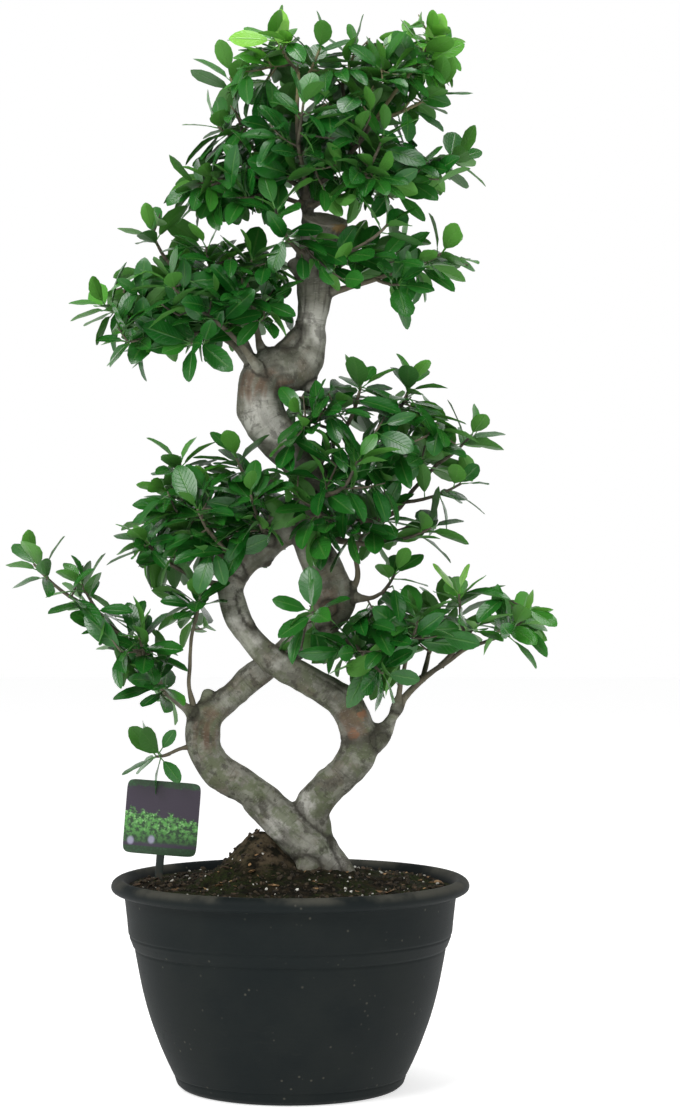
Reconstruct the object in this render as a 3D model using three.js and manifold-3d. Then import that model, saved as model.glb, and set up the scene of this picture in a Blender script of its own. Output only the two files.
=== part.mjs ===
// A potted Chinese banyan: a ficus bonsai whose two stems braid once below an S-shaped trunk,
// in a round plastic bowl pot with a plant label.
// Millimetres, +Z up. The origin is the centre of the pot's foot and the tree's front faces -Y.
import * as THREE from "three";
import { mergeVertices } from "three/addons/utils/BufferGeometryUtils.js";
import Module from "manifold-3d";

const wasm = await Module();
wasm.setup();

// Pot and soil
const POT_HEIGHT = 207.5;
const RIM_RADIUS = 179;
const FOOT_RADIUS = 109;
const FLOOR_TOP = 8;
const ROUND_SIDES = 28;
const DRAIN_HOLES = 4;
const DRAIN_RADIUS = 7;
const DRAIN_CIRCLE = 58;
const SEAT_GAP = 0.3;
const SOIL_EDGE = 196;
const SOIL_LEAN = 2;
const DOME = { x: 15, reach: 70, rise: 22 };
const HEAP = { x: -34, y: -6, reachX: 23, reachY: 30, rise: 37 };

// Plant label
const CARD_SIZE = 74;
const CARD_CORNER = 6;
const CARD_THICKNESS = 0.8;
const CARD_LEAN = THREE.MathUtils.degToRad(-4.6);
const CARD_CENTRE = new THREE.Vector3(-129, 5, 265.5);
const SPIKE_WIDTH = 8;
const SPIKE_OFFSET = 1.5;
const SPIKE_LENGTH = 98;
const SPIKE_POINT = 12;

// Wood: the sides of a limb's section and the length of one straight stretch of it
const STEM_FACETS = { sides: 8, stretch: 24 };
const STUB_FACETS = { sides: 5, stretch: 24 };
const BRANCH_FACETS = { sides: 3, stretch: 40 };

// Leaves and twigs
const BLADE_LENGTH = 38;
const BLADE_SHAPE = 0.54;
const BLADE_THICKNESS = 0.8;
const STALK_LENGTH = 7;
const BLADE_DROOP = 0.16;
const LOWER_LINE = 0.34;
const UPPER_LINE = 0.72;
const UPPER_WIDTH = 0.82;
const TWIG_RADIUS = 2.2;
const TIP_RADIUS = 1.5;
const TWIG_LEAVES = 10;
const LEAVES_PER_SHOOT = 6;
const LEAF_CLEARANCE = 0.7;
const GOLDEN_ANGLE = THREE.MathUtils.degToRad(137.5);

// Each limb is a row of points [x, y, z, radius] along its middle line.
const STEMS = {
  root_crown: [[22, 1, 150, 18], [22, 1, 190, 27], [21, 4, 222, 26], [15, 5, 242, 22], [11, 3, 256, 16]],
  left_stem: [
    [38, -12, 217, 12], [22, -13, 234, 17], [4, -9, 250, 19.5], [-14, -1, 268, 20.5], [-25, 2, 280, 19.5],
    [-41, 2, 294, 18], [-69, 2, 311, 18], [-85, 3, 330, 17.5], [-88, 3, 349, 18.5], [-83, 6, 366, 16.5],
    [-71, 8, 378, 14], [-59, 10, 387, 13], [-43, 13, 402, 14], [-29, 14, 413, 14], [-12, 15, 425, 14.5],
    [4, 14, 438, 15.5], [19, 12, 451, 17], [34, 9, 466, 19], [44, 5, 483, 21], [35, 2, 508, 20.5],
    [23, 1, 534, 17.5], [18, 0, 556, 17], [20, 0, 578, 17], [20, 0, 604, 17], [5, -1, 628, 18],
    [-12, -2, 644, 20.5], [-26, -2, 661, 22.5], [-31, -1, 682, 22.5], [-29, 0, 699, 23],
    [-19, 1, 712, 23.5], [-2, 2, 715, 23.5], [12, 3, 723, 20], [19, 2, 740, 16.5], [21, 1, 758, 15],
    [24, 1, 785, 17.5], [24, 0, 812, 18.5], [27, -1, 838, 19], [34, -2, 860, 21.5],
  ],
  right_stem: [
    [30, 6, 222, 20], [24, 4, 250, 18.5], [22, 0, 274, 18.5], [29, -3, 288, 18.5], [39, -3, 299, 18.5],
    [53, -3, 312, 18], [64, -3, 326, 19], [69, -3, 343, 18.5], [64, -4, 362, 17.5], [55, -6, 379, 18],
    [42, -8, 390, 17.5], [26, -10, 399, 16.5], [9, -13, 409, 15.5], [-8, -14, 418, 15],
    [-25, -13, 431, 14], [-40, -10, 447, 12.5], [-52, -6, 463, 12], [-59, -3, 480, 11.5],
    [-59, -1, 496, 12], [-54, 0, 511, 13], [-44, 1, 523, 13], [-32, 2, 532, 14], [-20, 3, 543, 14],
    [-9, 3, 552, 14.5], [7, 2, 566, 14],
  ],
};

const STUBS = {
  sawn_lip: [[30, -2, 858, 17], [46, -2, 868, 12], [56, -2, 870, 7]],
  stub_left: [[-84, 6, 372, 9], [-83, 2, 389, 6]],
  stub_window: [[-32, 3, 534, 8], [-23, 2, 521, 4]],
  stub_bend: [[8, 2, 708, 12], [23, 0, 695, 6]],
  web_bend: [[-26, 0, 712, 13], [-5, 1, 731, 13], [14, 1, 752, 12.5]],
  twin_strand: [[-52, -6, 488, 6], [-44, -11, 462, 7], [-33, -15, 441, 7.5], [-19, -19, 423, 8]],
  knob_column: [[14, -4, 812, 10], [3, -8, 818, 7]],
  collar_right: [[68, -3, 344, 16], [84, -4, 345, 12], [90, -4, 350, 9]],
  root_right: [[34, -3, 236, 13], [52, -8, 220, 8.5], [72, -14, 192, 4]],
  root_front: [[20, -14, 226, 15], [14, -36, 208, 9], [8, -58, 178, 4]],
  root_left: [[4, 4, 236, 16], [-28, 6, 224, 11], [-58, 10, 190, 4]],
  root_back: [[24, 12, 226, 15], [30, 38, 208, 9], [36, 60, 176, 4]],
};

const BRANCHES = {
  leader: [[19, -3, 862, 8], [17, -2, 884, 6], [15, 0, 906, 5]],
  crown_left_upright: [[15, 0, 902, 4], [8, -6, 936, 3.2], [7, -8, 974, 2.8], [8, -8, 1010, 2.3]],
  crown_middle: [[15, 2, 896, 3.8], [34, 10, 928, 3], [54, 12, 960, 2.6], [52, 10, 1002, 2.2]],
  crown_right: [[16, 0, 890, 3.8], [50, -6, 918, 3.1], [80, -10, 956, 2.7], [110, -12, 998, 2.2]],
  crown_right_low: [[17, 0, 880, 3.4], [60, 8, 892, 2.8], [104, 14, 910, 2.4], [132, 14, 920, 2.1]],
  crown_left: [[15, 0, 894, 3.4], [-20, 6, 918, 2.8], [-44, 10, 946, 2.4], [-54, 10, 972, 2.1]],
  crown_left_low: [[17, -2, 878, 3.2], [-25, -8, 892, 2.6], [-60, -12, 904, 2.1]],
  crown_front: [[16, -3, 886, 3.2], [14, -35, 905, 2.7], [8, -66, 930, 2.2]],
  crown_back: [[16, 3, 884, 3.2], [24, 36, 908, 2.7], [12, 70, 940, 2.2]],
  crown_front_right: [[18, -3, 874, 3.2], [45, -34, 888, 2.6], [74, -54, 902, 2.1]],
  left_pad_out: [
    [-30, -8, 708, 8], [-56, -6, 738, 4], [-80, -4, 750, 3.2], [-115, -8, 748, 2.8], [-145, -8, 758, 2.4],
    [-160, -6, 766, 2.1],
  ],
  left_pad_up: [
    [-34, 8, 710, 8], [-50, 4, 750, 4], [-74, 6, 784, 3.2], [-105, 6, 802, 2.6], [-124, 4, 824, 2.1],
  ],
  left_pad_inner: [[-22, 0, 716, 7], [-34, -4, 752, 3.6], [-38, -10, 782, 2.8], [-44, -12, 802, 2.2]],
  left_pad_front: [[-24, -16, 706, 6], [-56, -34, 744, 3.2], [-83, -52, 766, 2.2]],
  left_pad_back: [[-24, 16, 706, 6], [-58, 38, 748, 3.2], [-90, 58, 772, 2.2]],
  right_pad_out: [[28, -2, 790, 7], [60, -9, 796, 3.4], [98, -14, 808, 2.7], [126, -14, 819, 2.1]],
  right_pad_front: [[28, -8, 806, 7], [48, -36, 822, 3.2], [76, -54, 836, 2.2]],
  right_pad_back: [[28, 8, 806, 7], [52, 40, 824, 3.2], [80, 60, 838, 2.3]],
  right_pad_left: [[22, -10, 822, 6], [2, -32, 836, 2.6], [-8, -44, 850, 2.1]],
  middle_right_front: [[20, -4, 614, 7], [44, -14, 642, 3.5], [58, -18, 662, 2.7], [66, -20, 682, 2.2]],
  middle_right_up: [
    [20, 2, 598, 7], [64, 0, 624, 3.6], [88, -2, 646, 3], [104, -4, 664, 2.4], [112, -4, 680, 2.1],
  ],
  middle_right_out: [
    [20, 4, 566, 7], [74, 6, 562, 3.8], [104, 6, 572, 3.2], [124, 8, 595, 2.7], [148, 8, 621, 2.2],
  ],
  middle_right_low: [[22, -4, 550, 6], [70, -10, 540, 3.2], [104, -12, 544, 2.2]],
  middle_right_fore: [[18, -8, 584, 6], [38, -40, 588, 3.2], [54, -58, 596, 2.3]],
  middle_right_rear: [[20, 8, 580, 6], [50, 44, 596, 3.2], [80, 64, 610, 2.3]],
  middle_twig: [[50, -2, 484, 9], [66, -2, 504, 3.6], [66, -6, 532, 2.8], [72, -10, 548, 2.2]],
  middle_left_up: [[-52, 0, 516, 6], [-78, -2, 536, 3.4], [-100, -4, 562, 2.8], [-110, -4, 594, 2.2]],
  middle_left_inner: [[-12, 0, 556, 7], [-34, -8, 586, 3.2], [-44, -10, 606, 2.3]],
  middle_left_out: [[-56, -2, 494, 7], [-84, -4, 502, 3.2], [-110, -6, 514, 2.6], [-128, -6, 526, 2.1]],
  middle_left_front: [[-50, -6, 510, 6], [-62, -34, 532, 3], [-78, -48, 550, 2.2]],
  middle_left_back: [[-46, 6, 522, 6], [-62, 36, 542, 3], [-86, 58, 562, 2.2]],
  middle_left_fore: [[-20, -4, 542, 7], [-26, -32, 552, 2.8], [-30, -42, 562, 2.2]],
  upright_twig: [[-92, 2, 360, 6], [-101, -2, 396, 2.6], [-99, -4, 440, 2.3], [-95, -6, 462, 2.1]],
  left_spray: [
    [-88, 2, 362, 10], [-104, -2, 376, 5], [-126, -4, 394, 4], [-143, -5, 422, 3.4],
    [-166, -6, 446, 3], [-190, -6, 467, 2.6], [-214, -6, 484, 2.2],
  ],
  right_spray: [
    [74, -3, 344, 15], [92, -4, 352, 8], [101, -5, 366, 5.6], [112, -6, 384, 4.6], [126, -7, 400, 3.9],
    [143, -8, 414, 3.4], [158, -8, 424, 3.1], [176, -8, 436, 2.6], [198, -8, 444, 2.2],
  ],
  right_spray_up: [[150, -8, 418, 3.4], [172, -10, 446, 2.4], [170, -12, 462, 2.1]],
  right_spray_front: [[106, -6, 376, 4.4], [112, -18, 412, 2.7], [120, -30, 440, 2.1]],
  right_spray_back: [[132, -6, 405, 3.4], [140, 30, 434, 2.6], [146, 44, 452, 2.1]],
  trunk_front_twig: [[40, -4, 480, 9], [36, -38, 468, 2.6], [32, -46, 468, 2.1]],
  trunk_low_twig: [[28, 4, 458, 9], [62, -20, 440, 3], [78, -28, 426, 2.1]],
  trunk_right_twig: [[48, 0, 488, 9], [78, -10, 486, 2.9], [92, -14, 492, 2.1]],
  low_shoot_twig: [[-88, 0, 340, 7], [-108, -6, 336, 2.3], [-120, -8, 331, 2.1]],
};

// Each leafy shoot grows from a branch, at a share of its length, to a tip [x, y, z].
const SHOOTS = {
  crown_01: ["crown_left_upright", 1, [-14, -10, 1042]],
  crown_02: ["crown_left_upright", 0.8, [30, -24, 1032]],
  crown_03: ["crown_middle", 1, [64, 12, 1034]],
  crown_04: ["crown_middle", 0.62, [92, -22, 1010]],
  crown_05: ["crown_right", 1, [140, -12, 1041]],
  crown_06: ["crown_right", 0.72, [146, -14, 990]],
  crown_07: ["crown_right_low", 1, [168, 14, 926]],
  crown_08: ["crown_right_low", 0.5, [106, -16, 890]],
  crown_09: ["crown_left", 1, [-60, 10, 1010]],
  crown_10: ["crown_left", 0.6, [-72, -8, 956]],
  crown_11: ["crown_left_low", 1, [-94, -10, 896]],
  crown_12: ["crown_left_low", 0.5, [-46, -34, 882]],
  crown_13: ["crown_front", 1, [14, -92, 966]],
  crown_14: ["crown_front_right", 1, [92, -62, 938]],
  crown_15: ["crown_back", 1, [2, 96, 980]],
  left_pad_01: ["left_pad_out", 1, [-186, -6, 778]],
  left_pad_02: ["left_pad_out", 0.7, [-160, -28, 740]],
  left_pad_03: ["left_pad_out", 0.42, [-98, -34, 738]],
  left_pad_04: ["left_pad_up", 1, [-138, 4, 850]],
  left_pad_05: ["left_pad_up", 0.5, [-84, -10, 836]],
  left_pad_06: ["left_pad_inner", 1, [-38, -20, 822]],
  left_pad_07: ["left_pad_front", 1, [-118, -64, 796]],
  left_pad_08: ["left_pad_back", 1, [-116, 76, 808]],
  right_pad_01: ["right_pad_out", 1, [152, -14, 830]],
  right_pad_02: ["right_pad_out", 0.55, [108, -34, 796]],
  right_pad_03: ["right_pad_front", 1, [96, -64, 852]],
  right_pad_04: ["right_pad_back", 1, [108, 66, 846]],
  right_pad_05: ["right_pad_left", 1, [-14, -56, 868]],
  middle_right_01: ["middle_right_front", 1, [70, -18, 696]],
  middle_right_02: ["middle_right_front", 0.5, [12, -38, 666]],
  middle_right_03: ["middle_right_up", 1, [120, -4, 700]],
  middle_right_04: ["middle_right_out", 1, [182, 8, 650]],
  middle_right_05: ["middle_right_out", 0.62, [170, -8, 600]],
  middle_right_06: ["middle_right_low", 1, [140, -12, 556]],
  middle_right_07: ["middle_right_fore", 1, [66, -72, 620]],
  middle_right_08: ["middle_right_rear", 1, [108, 76, 624]],
  middle_right_09: ["middle_twig", 1, [92, -22, 568]],
  middle_left_01: ["middle_left_up", 1, [-110, -4, 620]],
  middle_left_02: ["middle_left_inner", 1, [-54, -14, 626]],
  middle_left_03: ["middle_left_out", 1, [-146, -6, 544]],
  middle_left_04: ["middle_left_front", 1, [-90, -62, 574]],
  middle_left_05: ["middle_left_back", 1, [-106, 72, 586]],
  middle_left_06: ["middle_left_fore", 1, [-38, -56, 588]],
  middle_left_07: ["upright_twig", 1, [-90, -8, 488]],
  left_spray_01: ["left_spray", 1, [-256, -6, 520]],
  left_spray_02: ["left_spray", 0.78, [-208, -10, 500]],
  left_spray_03: ["left_spray", 0.5, [-150, -22, 448]],
  left_spray_04: ["left_spray", 0.3, [-132, -14, 404]],
  low_shoot: ["low_shoot_twig", 1, [-134, -8, 328]],
  right_spray_01: ["right_spray", 1, [230, -10, 462]],
  right_spray_02: ["right_spray_up", 1, [168, -14, 490]],
  right_spray_03: ["right_spray_front", 1, [126, -40, 466]],
  right_spray_04: ["right_spray_back", 1, [152, 62, 478]],
  right_spray_05: ["trunk_front_twig", 1, [22, -62, 474]],
  right_spray_06: ["trunk_low_twig", 1, [92, -38, 412]],
  right_spray_07: ["trunk_right_twig", 1, [104, -18, 510]],
};

const UP = new THREE.Vector3(0, 0, 1);

// A number from 0 to 1 that looks random and is always the same for the same seed.
function draw(seed) {
  const turned = Math.sin(seed * 12.9898) * 43758.5453;
  return turned - Math.floor(turned);
}

function toSolid(geometry) {
  const bare = geometry.clone();
  bare.deleteAttribute("normal");
  bare.deleteAttribute("uv");
  const merged = mergeVertices(bare, 1e-3);
  return new wasm.Manifold(
    new wasm.Mesh({
      numProp: 3,
      vertProperties: new Float32Array(merged.attributes.position.array),
      triVerts: new Uint32Array(merged.index.array),
    }),
  );
}

function toGeometry(solid) {
  const made = solid.getMesh();
  const geometry = new THREE.BufferGeometry();
  geometry.setAttribute("position", new THREE.BufferAttribute(new Float32Array(made.vertProperties), 3));
  geometry.setIndex(new THREE.BufferAttribute(new Uint32Array(made.triVerts), 1));
  geometry.computeVertexNormals();
  return geometry;
}

function joined(solids) {
  return solids.reduce((whole, piece) => whole.add(piece));
}

// The largest body of a solid, without the loose scraps or sealed hollows that a cut or join can leave.
function largestBody(solid) {
  return solid.decompose().reduce((best, body) => (body.volume() > best.volume() ? body : best));
}

function limbCurve(points) {
  const line = points.map(([x, y, z]) => new THREE.Vector3(x, y, z));
  return new THREE.CatmullRomCurve3(line, false, "catmullrom", 0.5);
}

// A closed round bar along a curve: a cylinder whose rings are carried along the curve and scaled.
function barAlong(curve, radiusAt, sides, steps, grow = 0) {
  const bar = new THREE.CylinderGeometry(1, 1, 1, sides, steps);
  const frames = curve.computeFrenetFrames(steps, false);
  const place = bar.attributes.position;
  for (let i = 0; i < place.count; i++) {
    const share = place.getY(i) + 0.5;
    const ring = Math.round(share * steps);
    const out = frames.normals[ring];
    const along = frames.tangents[ring];
    const across = new THREE.Vector3().crossVectors(out, along);
    const end = ring === 0 ? -grow : ring === steps ? grow : 0;
    const radius = radiusAt(curve.getUtoTmapping(share)) + grow;
    const spot = curve
      .getPointAt(share)
      .addScaledVector(along, end)
      .addScaledVector(out, place.getX(i) * radius)
      .addScaledVector(across, place.getZ(i) * radius);
    place.setXYZ(i, spot.x, spot.y, spot.z);
  }
  return toSolid(bar);
}

function limb(points, { sides, stretch }, grow) {
  const curve = limbCurve(points);
  const steps = Math.max(2, Math.round(curve.getLength() / stretch));
  const radiusAt = (t) => {
    const at = Math.min(t, 0.999999) * (points.length - 1);
    const first = Math.floor(at);
    return THREE.MathUtils.lerp(points[first][3], points[first + 1][3], at - first);
  };
  return barAlong(curve, radiusAt, sides, steps, grow);
}

function limbs(grow = 0) {
  return [
    ...Object.values(STEMS).map((points) => limb(points, STEM_FACETS, grow)),
    ...Object.values(STUBS).map((points) => limb(points, STUB_FACETS, grow)),
    ...Object.values(BRANCHES).map((points) => limb(points, BRANCH_FACETS, grow)),
  ];
}

// Height of the soil: a little higher on the left, domed round the trunk and heaped on its left.
function soilHeight(x, y) {
  const dome = Math.exp(-0.5 * (((x - DOME.x) / DOME.reach) ** 2 + (y / DOME.reach) ** 2));
  const heap = Math.exp(-0.5 * (((x - HEAP.x) / HEAP.reachX) ** 2 + ((y - HEAP.y) / HEAP.reachY) ** 2));
  return SOIL_EDGE - (SOIL_LEAN * x) / RIM_RADIUS + DOME.rise * dome + HEAP.rise * heap;
}

function pot() {
  const profile = [
    [0, 0], [FOOT_RADIUS, 0], [112.5, 3.5], [129.8, 41], [145.8, 89], [155.2, 136.5], [159.2, 146],
    [166, POT_HEIGHT - 14], [176, POT_HEIGHT - 12.5], [RIM_RADIUS, POT_HEIGHT - 9],
    [177.5, POT_HEIGHT - 4.5], [172, POT_HEIGHT], [166, POT_HEIGHT - 1], [162.5, POT_HEIGHT - 11],
    [159, 186], [142.5, 86], [128.5, 44], [110, FLOOR_TOP], [0, FLOOR_TOP],
  ];
  let shell = toSolid(upright(new THREE.LatheGeometry(vectors(profile), ROUND_SIDES)));
  for (let i = 0; i < DRAIN_HOLES; i++) {
    const angle = (2 * Math.PI * i) / DRAIN_HOLES;
    const hole = upright(new THREE.CylinderGeometry(DRAIN_RADIUS, DRAIN_RADIUS, 4 * FLOOR_TOP, 8));
    hole.translate(DRAIN_CIRCLE * Math.cos(angle), DRAIN_CIRCLE * Math.sin(angle), 0);
    shell = shell.subtract(toSolid(hole));
  }
  return shell;
}

function soil(trunkPocket, spikePocket) {
  const topRings = [161, 124, 90, 60, 32, 0];
  const floor = FLOOR_TOP + SEAT_GAP;
  const profile = [
    [0, floor], [109.4, floor], [128, 44.2], [142, 86.2], [158, 185.5],
    ...topRings.map((radius) => [radius, SOIL_EDGE]),
  ];
  const body = upright(new THREE.LatheGeometry(vectors(profile), ROUND_SIDES));
  const place = body.attributes.position;
  for (let i = 0; i < place.count; i++) {
    if (place.getZ(i) < SOIL_EDGE - 0.01) continue;
    place.setZ(i, soilHeight(place.getX(i), place.getY(i)));
  }
  return toSolid(body).subtract(trunkPocket).subtract(spikePocket);
}

function vectors(profile) {
  return profile.map(([radius, z]) => new THREE.Vector2(radius, z));
}

// Turns a geometry made round the Y axis so that it stands on Z.
function upright(geometry) {
  return geometry.rotateX(Math.PI / 2);
}

// The label's outline: a card with round corners and a pointed spike below it, as one cut sheet.
function labelShape(grow) {
  const half = CARD_SIZE / 2 + grow;
  const side = SPIKE_WIDTH / 2 + grow;
  const tip = -half - SPIKE_LENGTH - grow;
  const shape = new THREE.Shape();
  shape.moveTo(SPIKE_OFFSET - side, -half);
  shape.lineTo(SPIKE_OFFSET - side, tip + SPIKE_POINT);
  shape.lineTo(SPIKE_OFFSET, tip);
  shape.lineTo(SPIKE_OFFSET + side, tip + SPIKE_POINT);
  shape.lineTo(SPIKE_OFFSET + side, -half);
  for (let corner = 0; corner < 4; corner++) {
    const turn = (corner * Math.PI) / 2 - Math.PI / 2;
    const x = (corner === 0 || corner === 1 ? 1 : -1) * (half - CARD_CORNER);
    const y = (corner === 1 || corner === 2 ? 1 : -1) * (half - CARD_CORNER);
    for (let step = 0; step <= 3; step++) {
      const angle = turn + (step * Math.PI) / 6;
      shape.lineTo(x + CARD_CORNER * Math.cos(angle), y + CARD_CORNER * Math.sin(angle));
    }
  }
  return shape;
}

function label(grow = 0) {
  const depth = CARD_THICKNESS + 2 * grow;
  const sheet = new THREE.ExtrudeGeometry(labelShape(grow), { depth, bevelEnabled: false });
  sheet.translate(0, 0, -depth / 2);
  sheet.rotateZ(CARD_LEAN);
  sheet.rotateX(Math.PI / 2);
  sheet.translate(CARD_CENTRE.x, CARD_CENTRE.y, CARD_CENTRE.z);
  return toSolid(sheet);
}

// Two directions square to a twig: out is level or upward, across is level.
function twigFrame(along) {
  const across = new THREE.Vector3().crossVectors(along, UP);
  if (across.lengthSq() < 1e-4) across.set(1, 0, 0);
  across.normalize();
  return { across, out: new THREE.Vector3().crossVectors(across, along) };
}

function turned(along, tilt, spin) {
  const { across, out } = twigFrame(along);
  const radial = out.multiplyScalar(Math.cos(spin)).addScaledVector(across, Math.sin(spin));
  return { radial, way: along.clone().multiplyScalar(Math.cos(tilt)).addScaledVector(radial, Math.sin(tilt)) };
}

// A twig: a quadratic curve that sags a little and turns up at its tip.
function twigCurve(base, tip) {
  const middle = base.clone().add(tip).multiplyScalar(0.5);
  middle.addScaledVector(UP, -0.12 * base.distanceTo(tip));
  return new THREE.QuadraticBezierCurve3(base, middle, tip);
}

function shootTwig([branch, at, tip]) {
  return twigCurve(limbCurve(BRANCHES[branch]).getPoint(at), new THREE.Vector3(...tip));
}

// One leaf of a twig, counted from its tip: where it grows, its direction, its face and its size.
function leafPlan(twig, seed, order) {
  const at = 1 - 0.8 * (order / TWIG_LEAVES) ** 1.1;
  const along = twig.getTangent(at);
  const tilt = 0.5 + 0.6 * Math.min(1, order / 3) + 0.24 * (draw(seed + 1) - 0.5);
  const spin = 2 * Math.PI * draw(seed - 17 * order) + order * GOLDEN_ANGLE;
  const { radial, way } = turned(along, tilt, spin);
  way.addScaledVector(UP, 0.14).normalize();
  const face = along.clone().multiplyScalar(Math.sin(tilt)).addScaledVector(radial, -Math.cos(tilt));
  face.addScaledVector(UP, 0.8);
  face.addScaledVector(way, -face.dot(way)).normalize();
  face.applyAxisAngle(way, 0.9 * (draw(seed + 2) - 0.5));
  const length = BLADE_LENGTH * (0.74 + 0.26 * Math.min(1, order / 2)) * (0.86 + 0.28 * draw(seed + 3));
  return { root: twig.getPoint(at), way, face, length };
}

// A leaf blade as a thin arched plate: a wedge from its stalk's root, two cross lines and a tip.
// grow makes it thicker and larger all round and leaves out the stalk, for testing what is near it.
function blade(plan, grow = 0) {
  const { root, way, face, length } = plan;
  const across = new THREE.Vector3().crossVectors(face, way);
  const reach = STALK_LENGTH + length;
  const wide = (BLADE_SHAPE * length) / 2 + grow;
  const spots = [];
  const put = (along, side, level) => {
    const drop = BLADE_DROOP * reach * (along / reach) ** 2;
    const spot = root.clone().addScaledVector(way, along).addScaledVector(across, side);
    spot.addScaledVector(face, level - drop);
    spots.push(spot.x, spot.y, spot.z);
  };
  for (const level of [BLADE_THICKNESS / 2 + grow, -BLADE_THICKNESS / 2 - grow]) {
    put(grow ? STALK_LENGTH : 0, 0, level);
    put(STALK_LENGTH + LOWER_LINE * length, -wide, level);
    put(STALK_LENGTH + LOWER_LINE * length, wide, level);
    put(STALK_LENGTH + UPPER_LINE * length, -UPPER_WIDTH * wide, level);
    put(STALK_LENGTH + UPPER_LINE * length, UPPER_WIDTH * wide, level);
  }
  put(reach + grow, 0, 0);
  const tip = 10;
  const under = (corner) => (corner === tip ? tip : corner + 5);
  const top = [[0, 2, 1], [1, 2, 4], [1, 4, 3], [3, 4, tip]];
  const faces = top.flatMap(([a, b, c]) => [a, c, b, under(a), under(b), under(c)]);
  for (const [a, b] of [[0, 1], [1, 3], [3, tip], [tip, 4], [4, 2], [2, 0]]) {
    if (a !== tip) faces.push(b, a, under(a));
    if (b !== tip) faces.push(b, under(a), under(b));
  }
  const plate = new THREE.BufferGeometry();
  plate.setAttribute("position", new THREE.Float32BufferAttribute(spots, 3));
  plate.setIndex(faces);
  return toSolid(plate);
}

// What stands where, so that a leaf is left out where it would run into anything.
class Surroundings {
  constructor() {
    this.items = [];
  }

  add(solid, owner) {
    this.items.push({ solid, owner, box: solid.boundingBox() });
  }

  touches(solid, exceptOwner) {
    const box = solid.boundingBox();
    return this.items.some(
      (item) =>
        item.owner !== exceptOwner &&
        [0, 1, 2].every((i) => item.box.min[i] < box.max[i] && box.min[i] < item.box.max[i]) &&
        !item.solid.intersect(solid).isEmpty(),
    );
  }
}

function twigBar(twig, grow = 0) {
  return barAlong(twig, (t) => THREE.MathUtils.lerp(TWIG_RADIUS, TIP_RADIUS, t), 3, 2, grow);
}

function leafyShoots(woodPocket) {
  const around = new Surroundings();
  limbs(LEAF_CLEARANCE).forEach((solid) => around.add(solid, "wood"));
  const shoots = Object.entries(SHOOTS).map(([name, plan], index) => {
    const twig = shootTwig(plan);
    around.add(twigBar(twig, LEAF_CLEARANCE), name);
    return { name, index, twig, parts: [twigBar(twig)] };
  });
  for (let order = 0; order < TWIG_LEAVES; order++) {
    for (const { name, index, twig, parts } of shoots) {
      const plan = leafPlan(twig, 1000 * index + 17 * order, order);
      const leaf = blade(plan);
      const room = blade(plan, LEAF_CLEARANCE);
      const full = parts.length > LEAVES_PER_SHOOT;
      if (full || around.touches(room) || around.touches(leaf, name)) continue;
      around.add(room, name);
      around.add(leaf, name);
      parts.push(leaf);
    }
  }
  return shoots.map(({ name, parts }) => [name, largestBody(joined(parts).subtract(woodPocket))]);
}

function mesh(name, solid, color, roughness) {
  const material = new THREE.MeshStandardMaterial({ color, roughness, metalness: 0 });
  const made = new THREE.Mesh(toGeometry(solid), material);
  made.name = name;
  return made;
}

const woodPocket = joined(limbs(SEAT_GAP));
const banyan = new THREE.Group();
banyan.add(
  mesh("pot", pot(), 0x24282a, 0.6),
  mesh("soil", soil(woodPocket, label(SEAT_GAP)), 0x2b2318, 0.95),
  mesh("trunk", largestBody(joined(limbs())), 0x8d8778, 0.8),
  mesh("plant_label", label(), 0x3b2f3a, 0.4),
);
for (const [name, solid] of leafyShoots(woodPocket)) {
  banyan.add(mesh(`shoot_${name}`, solid, 0x1f5a22, 0.4));
}

export default banyan;
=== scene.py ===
"""A potted Chinese banyan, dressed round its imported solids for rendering.

The tables give millimetres in the row frame, +Z up, with the tree's front facing -Y. Meshes are in metres.
"""

import logging
import math
from dataclasses import dataclass, field
from enum import Enum
from functools import reduce
from typing import Any, Callable, Optional, Sequence, Union

import bpy
import mathutils
import numpy as np
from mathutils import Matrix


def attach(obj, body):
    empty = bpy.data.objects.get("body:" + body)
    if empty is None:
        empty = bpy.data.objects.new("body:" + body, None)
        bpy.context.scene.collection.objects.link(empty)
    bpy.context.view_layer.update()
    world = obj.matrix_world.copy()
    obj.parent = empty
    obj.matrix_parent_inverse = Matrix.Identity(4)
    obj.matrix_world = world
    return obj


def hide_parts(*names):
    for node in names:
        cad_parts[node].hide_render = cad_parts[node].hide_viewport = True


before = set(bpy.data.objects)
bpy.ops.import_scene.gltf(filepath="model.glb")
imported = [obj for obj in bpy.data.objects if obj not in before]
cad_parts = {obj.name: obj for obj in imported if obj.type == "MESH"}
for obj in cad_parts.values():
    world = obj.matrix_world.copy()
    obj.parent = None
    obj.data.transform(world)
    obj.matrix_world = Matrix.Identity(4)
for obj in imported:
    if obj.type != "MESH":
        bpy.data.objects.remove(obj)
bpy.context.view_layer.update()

log = logging.getLogger("banyan")
Array = np.ndarray
Options = Optional[dict[Any, Any]]
Piece = bpy.types.Object
Material = bpy.types.Material
Points = tuple[tuple[float, float, float, float], ...]
Spot = tuple[float, float, float]
Share = Union[float, Array]
Number = Union[float, "Wire"]
Faces = Sequence[Array]

MM = 0.001
EYE = (49.5, -2730.0, 530.0)
UP = np.array([0.0, 0.0, 1.0])
GOLDEN_ANGLE = math.radians(137.5)

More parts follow.
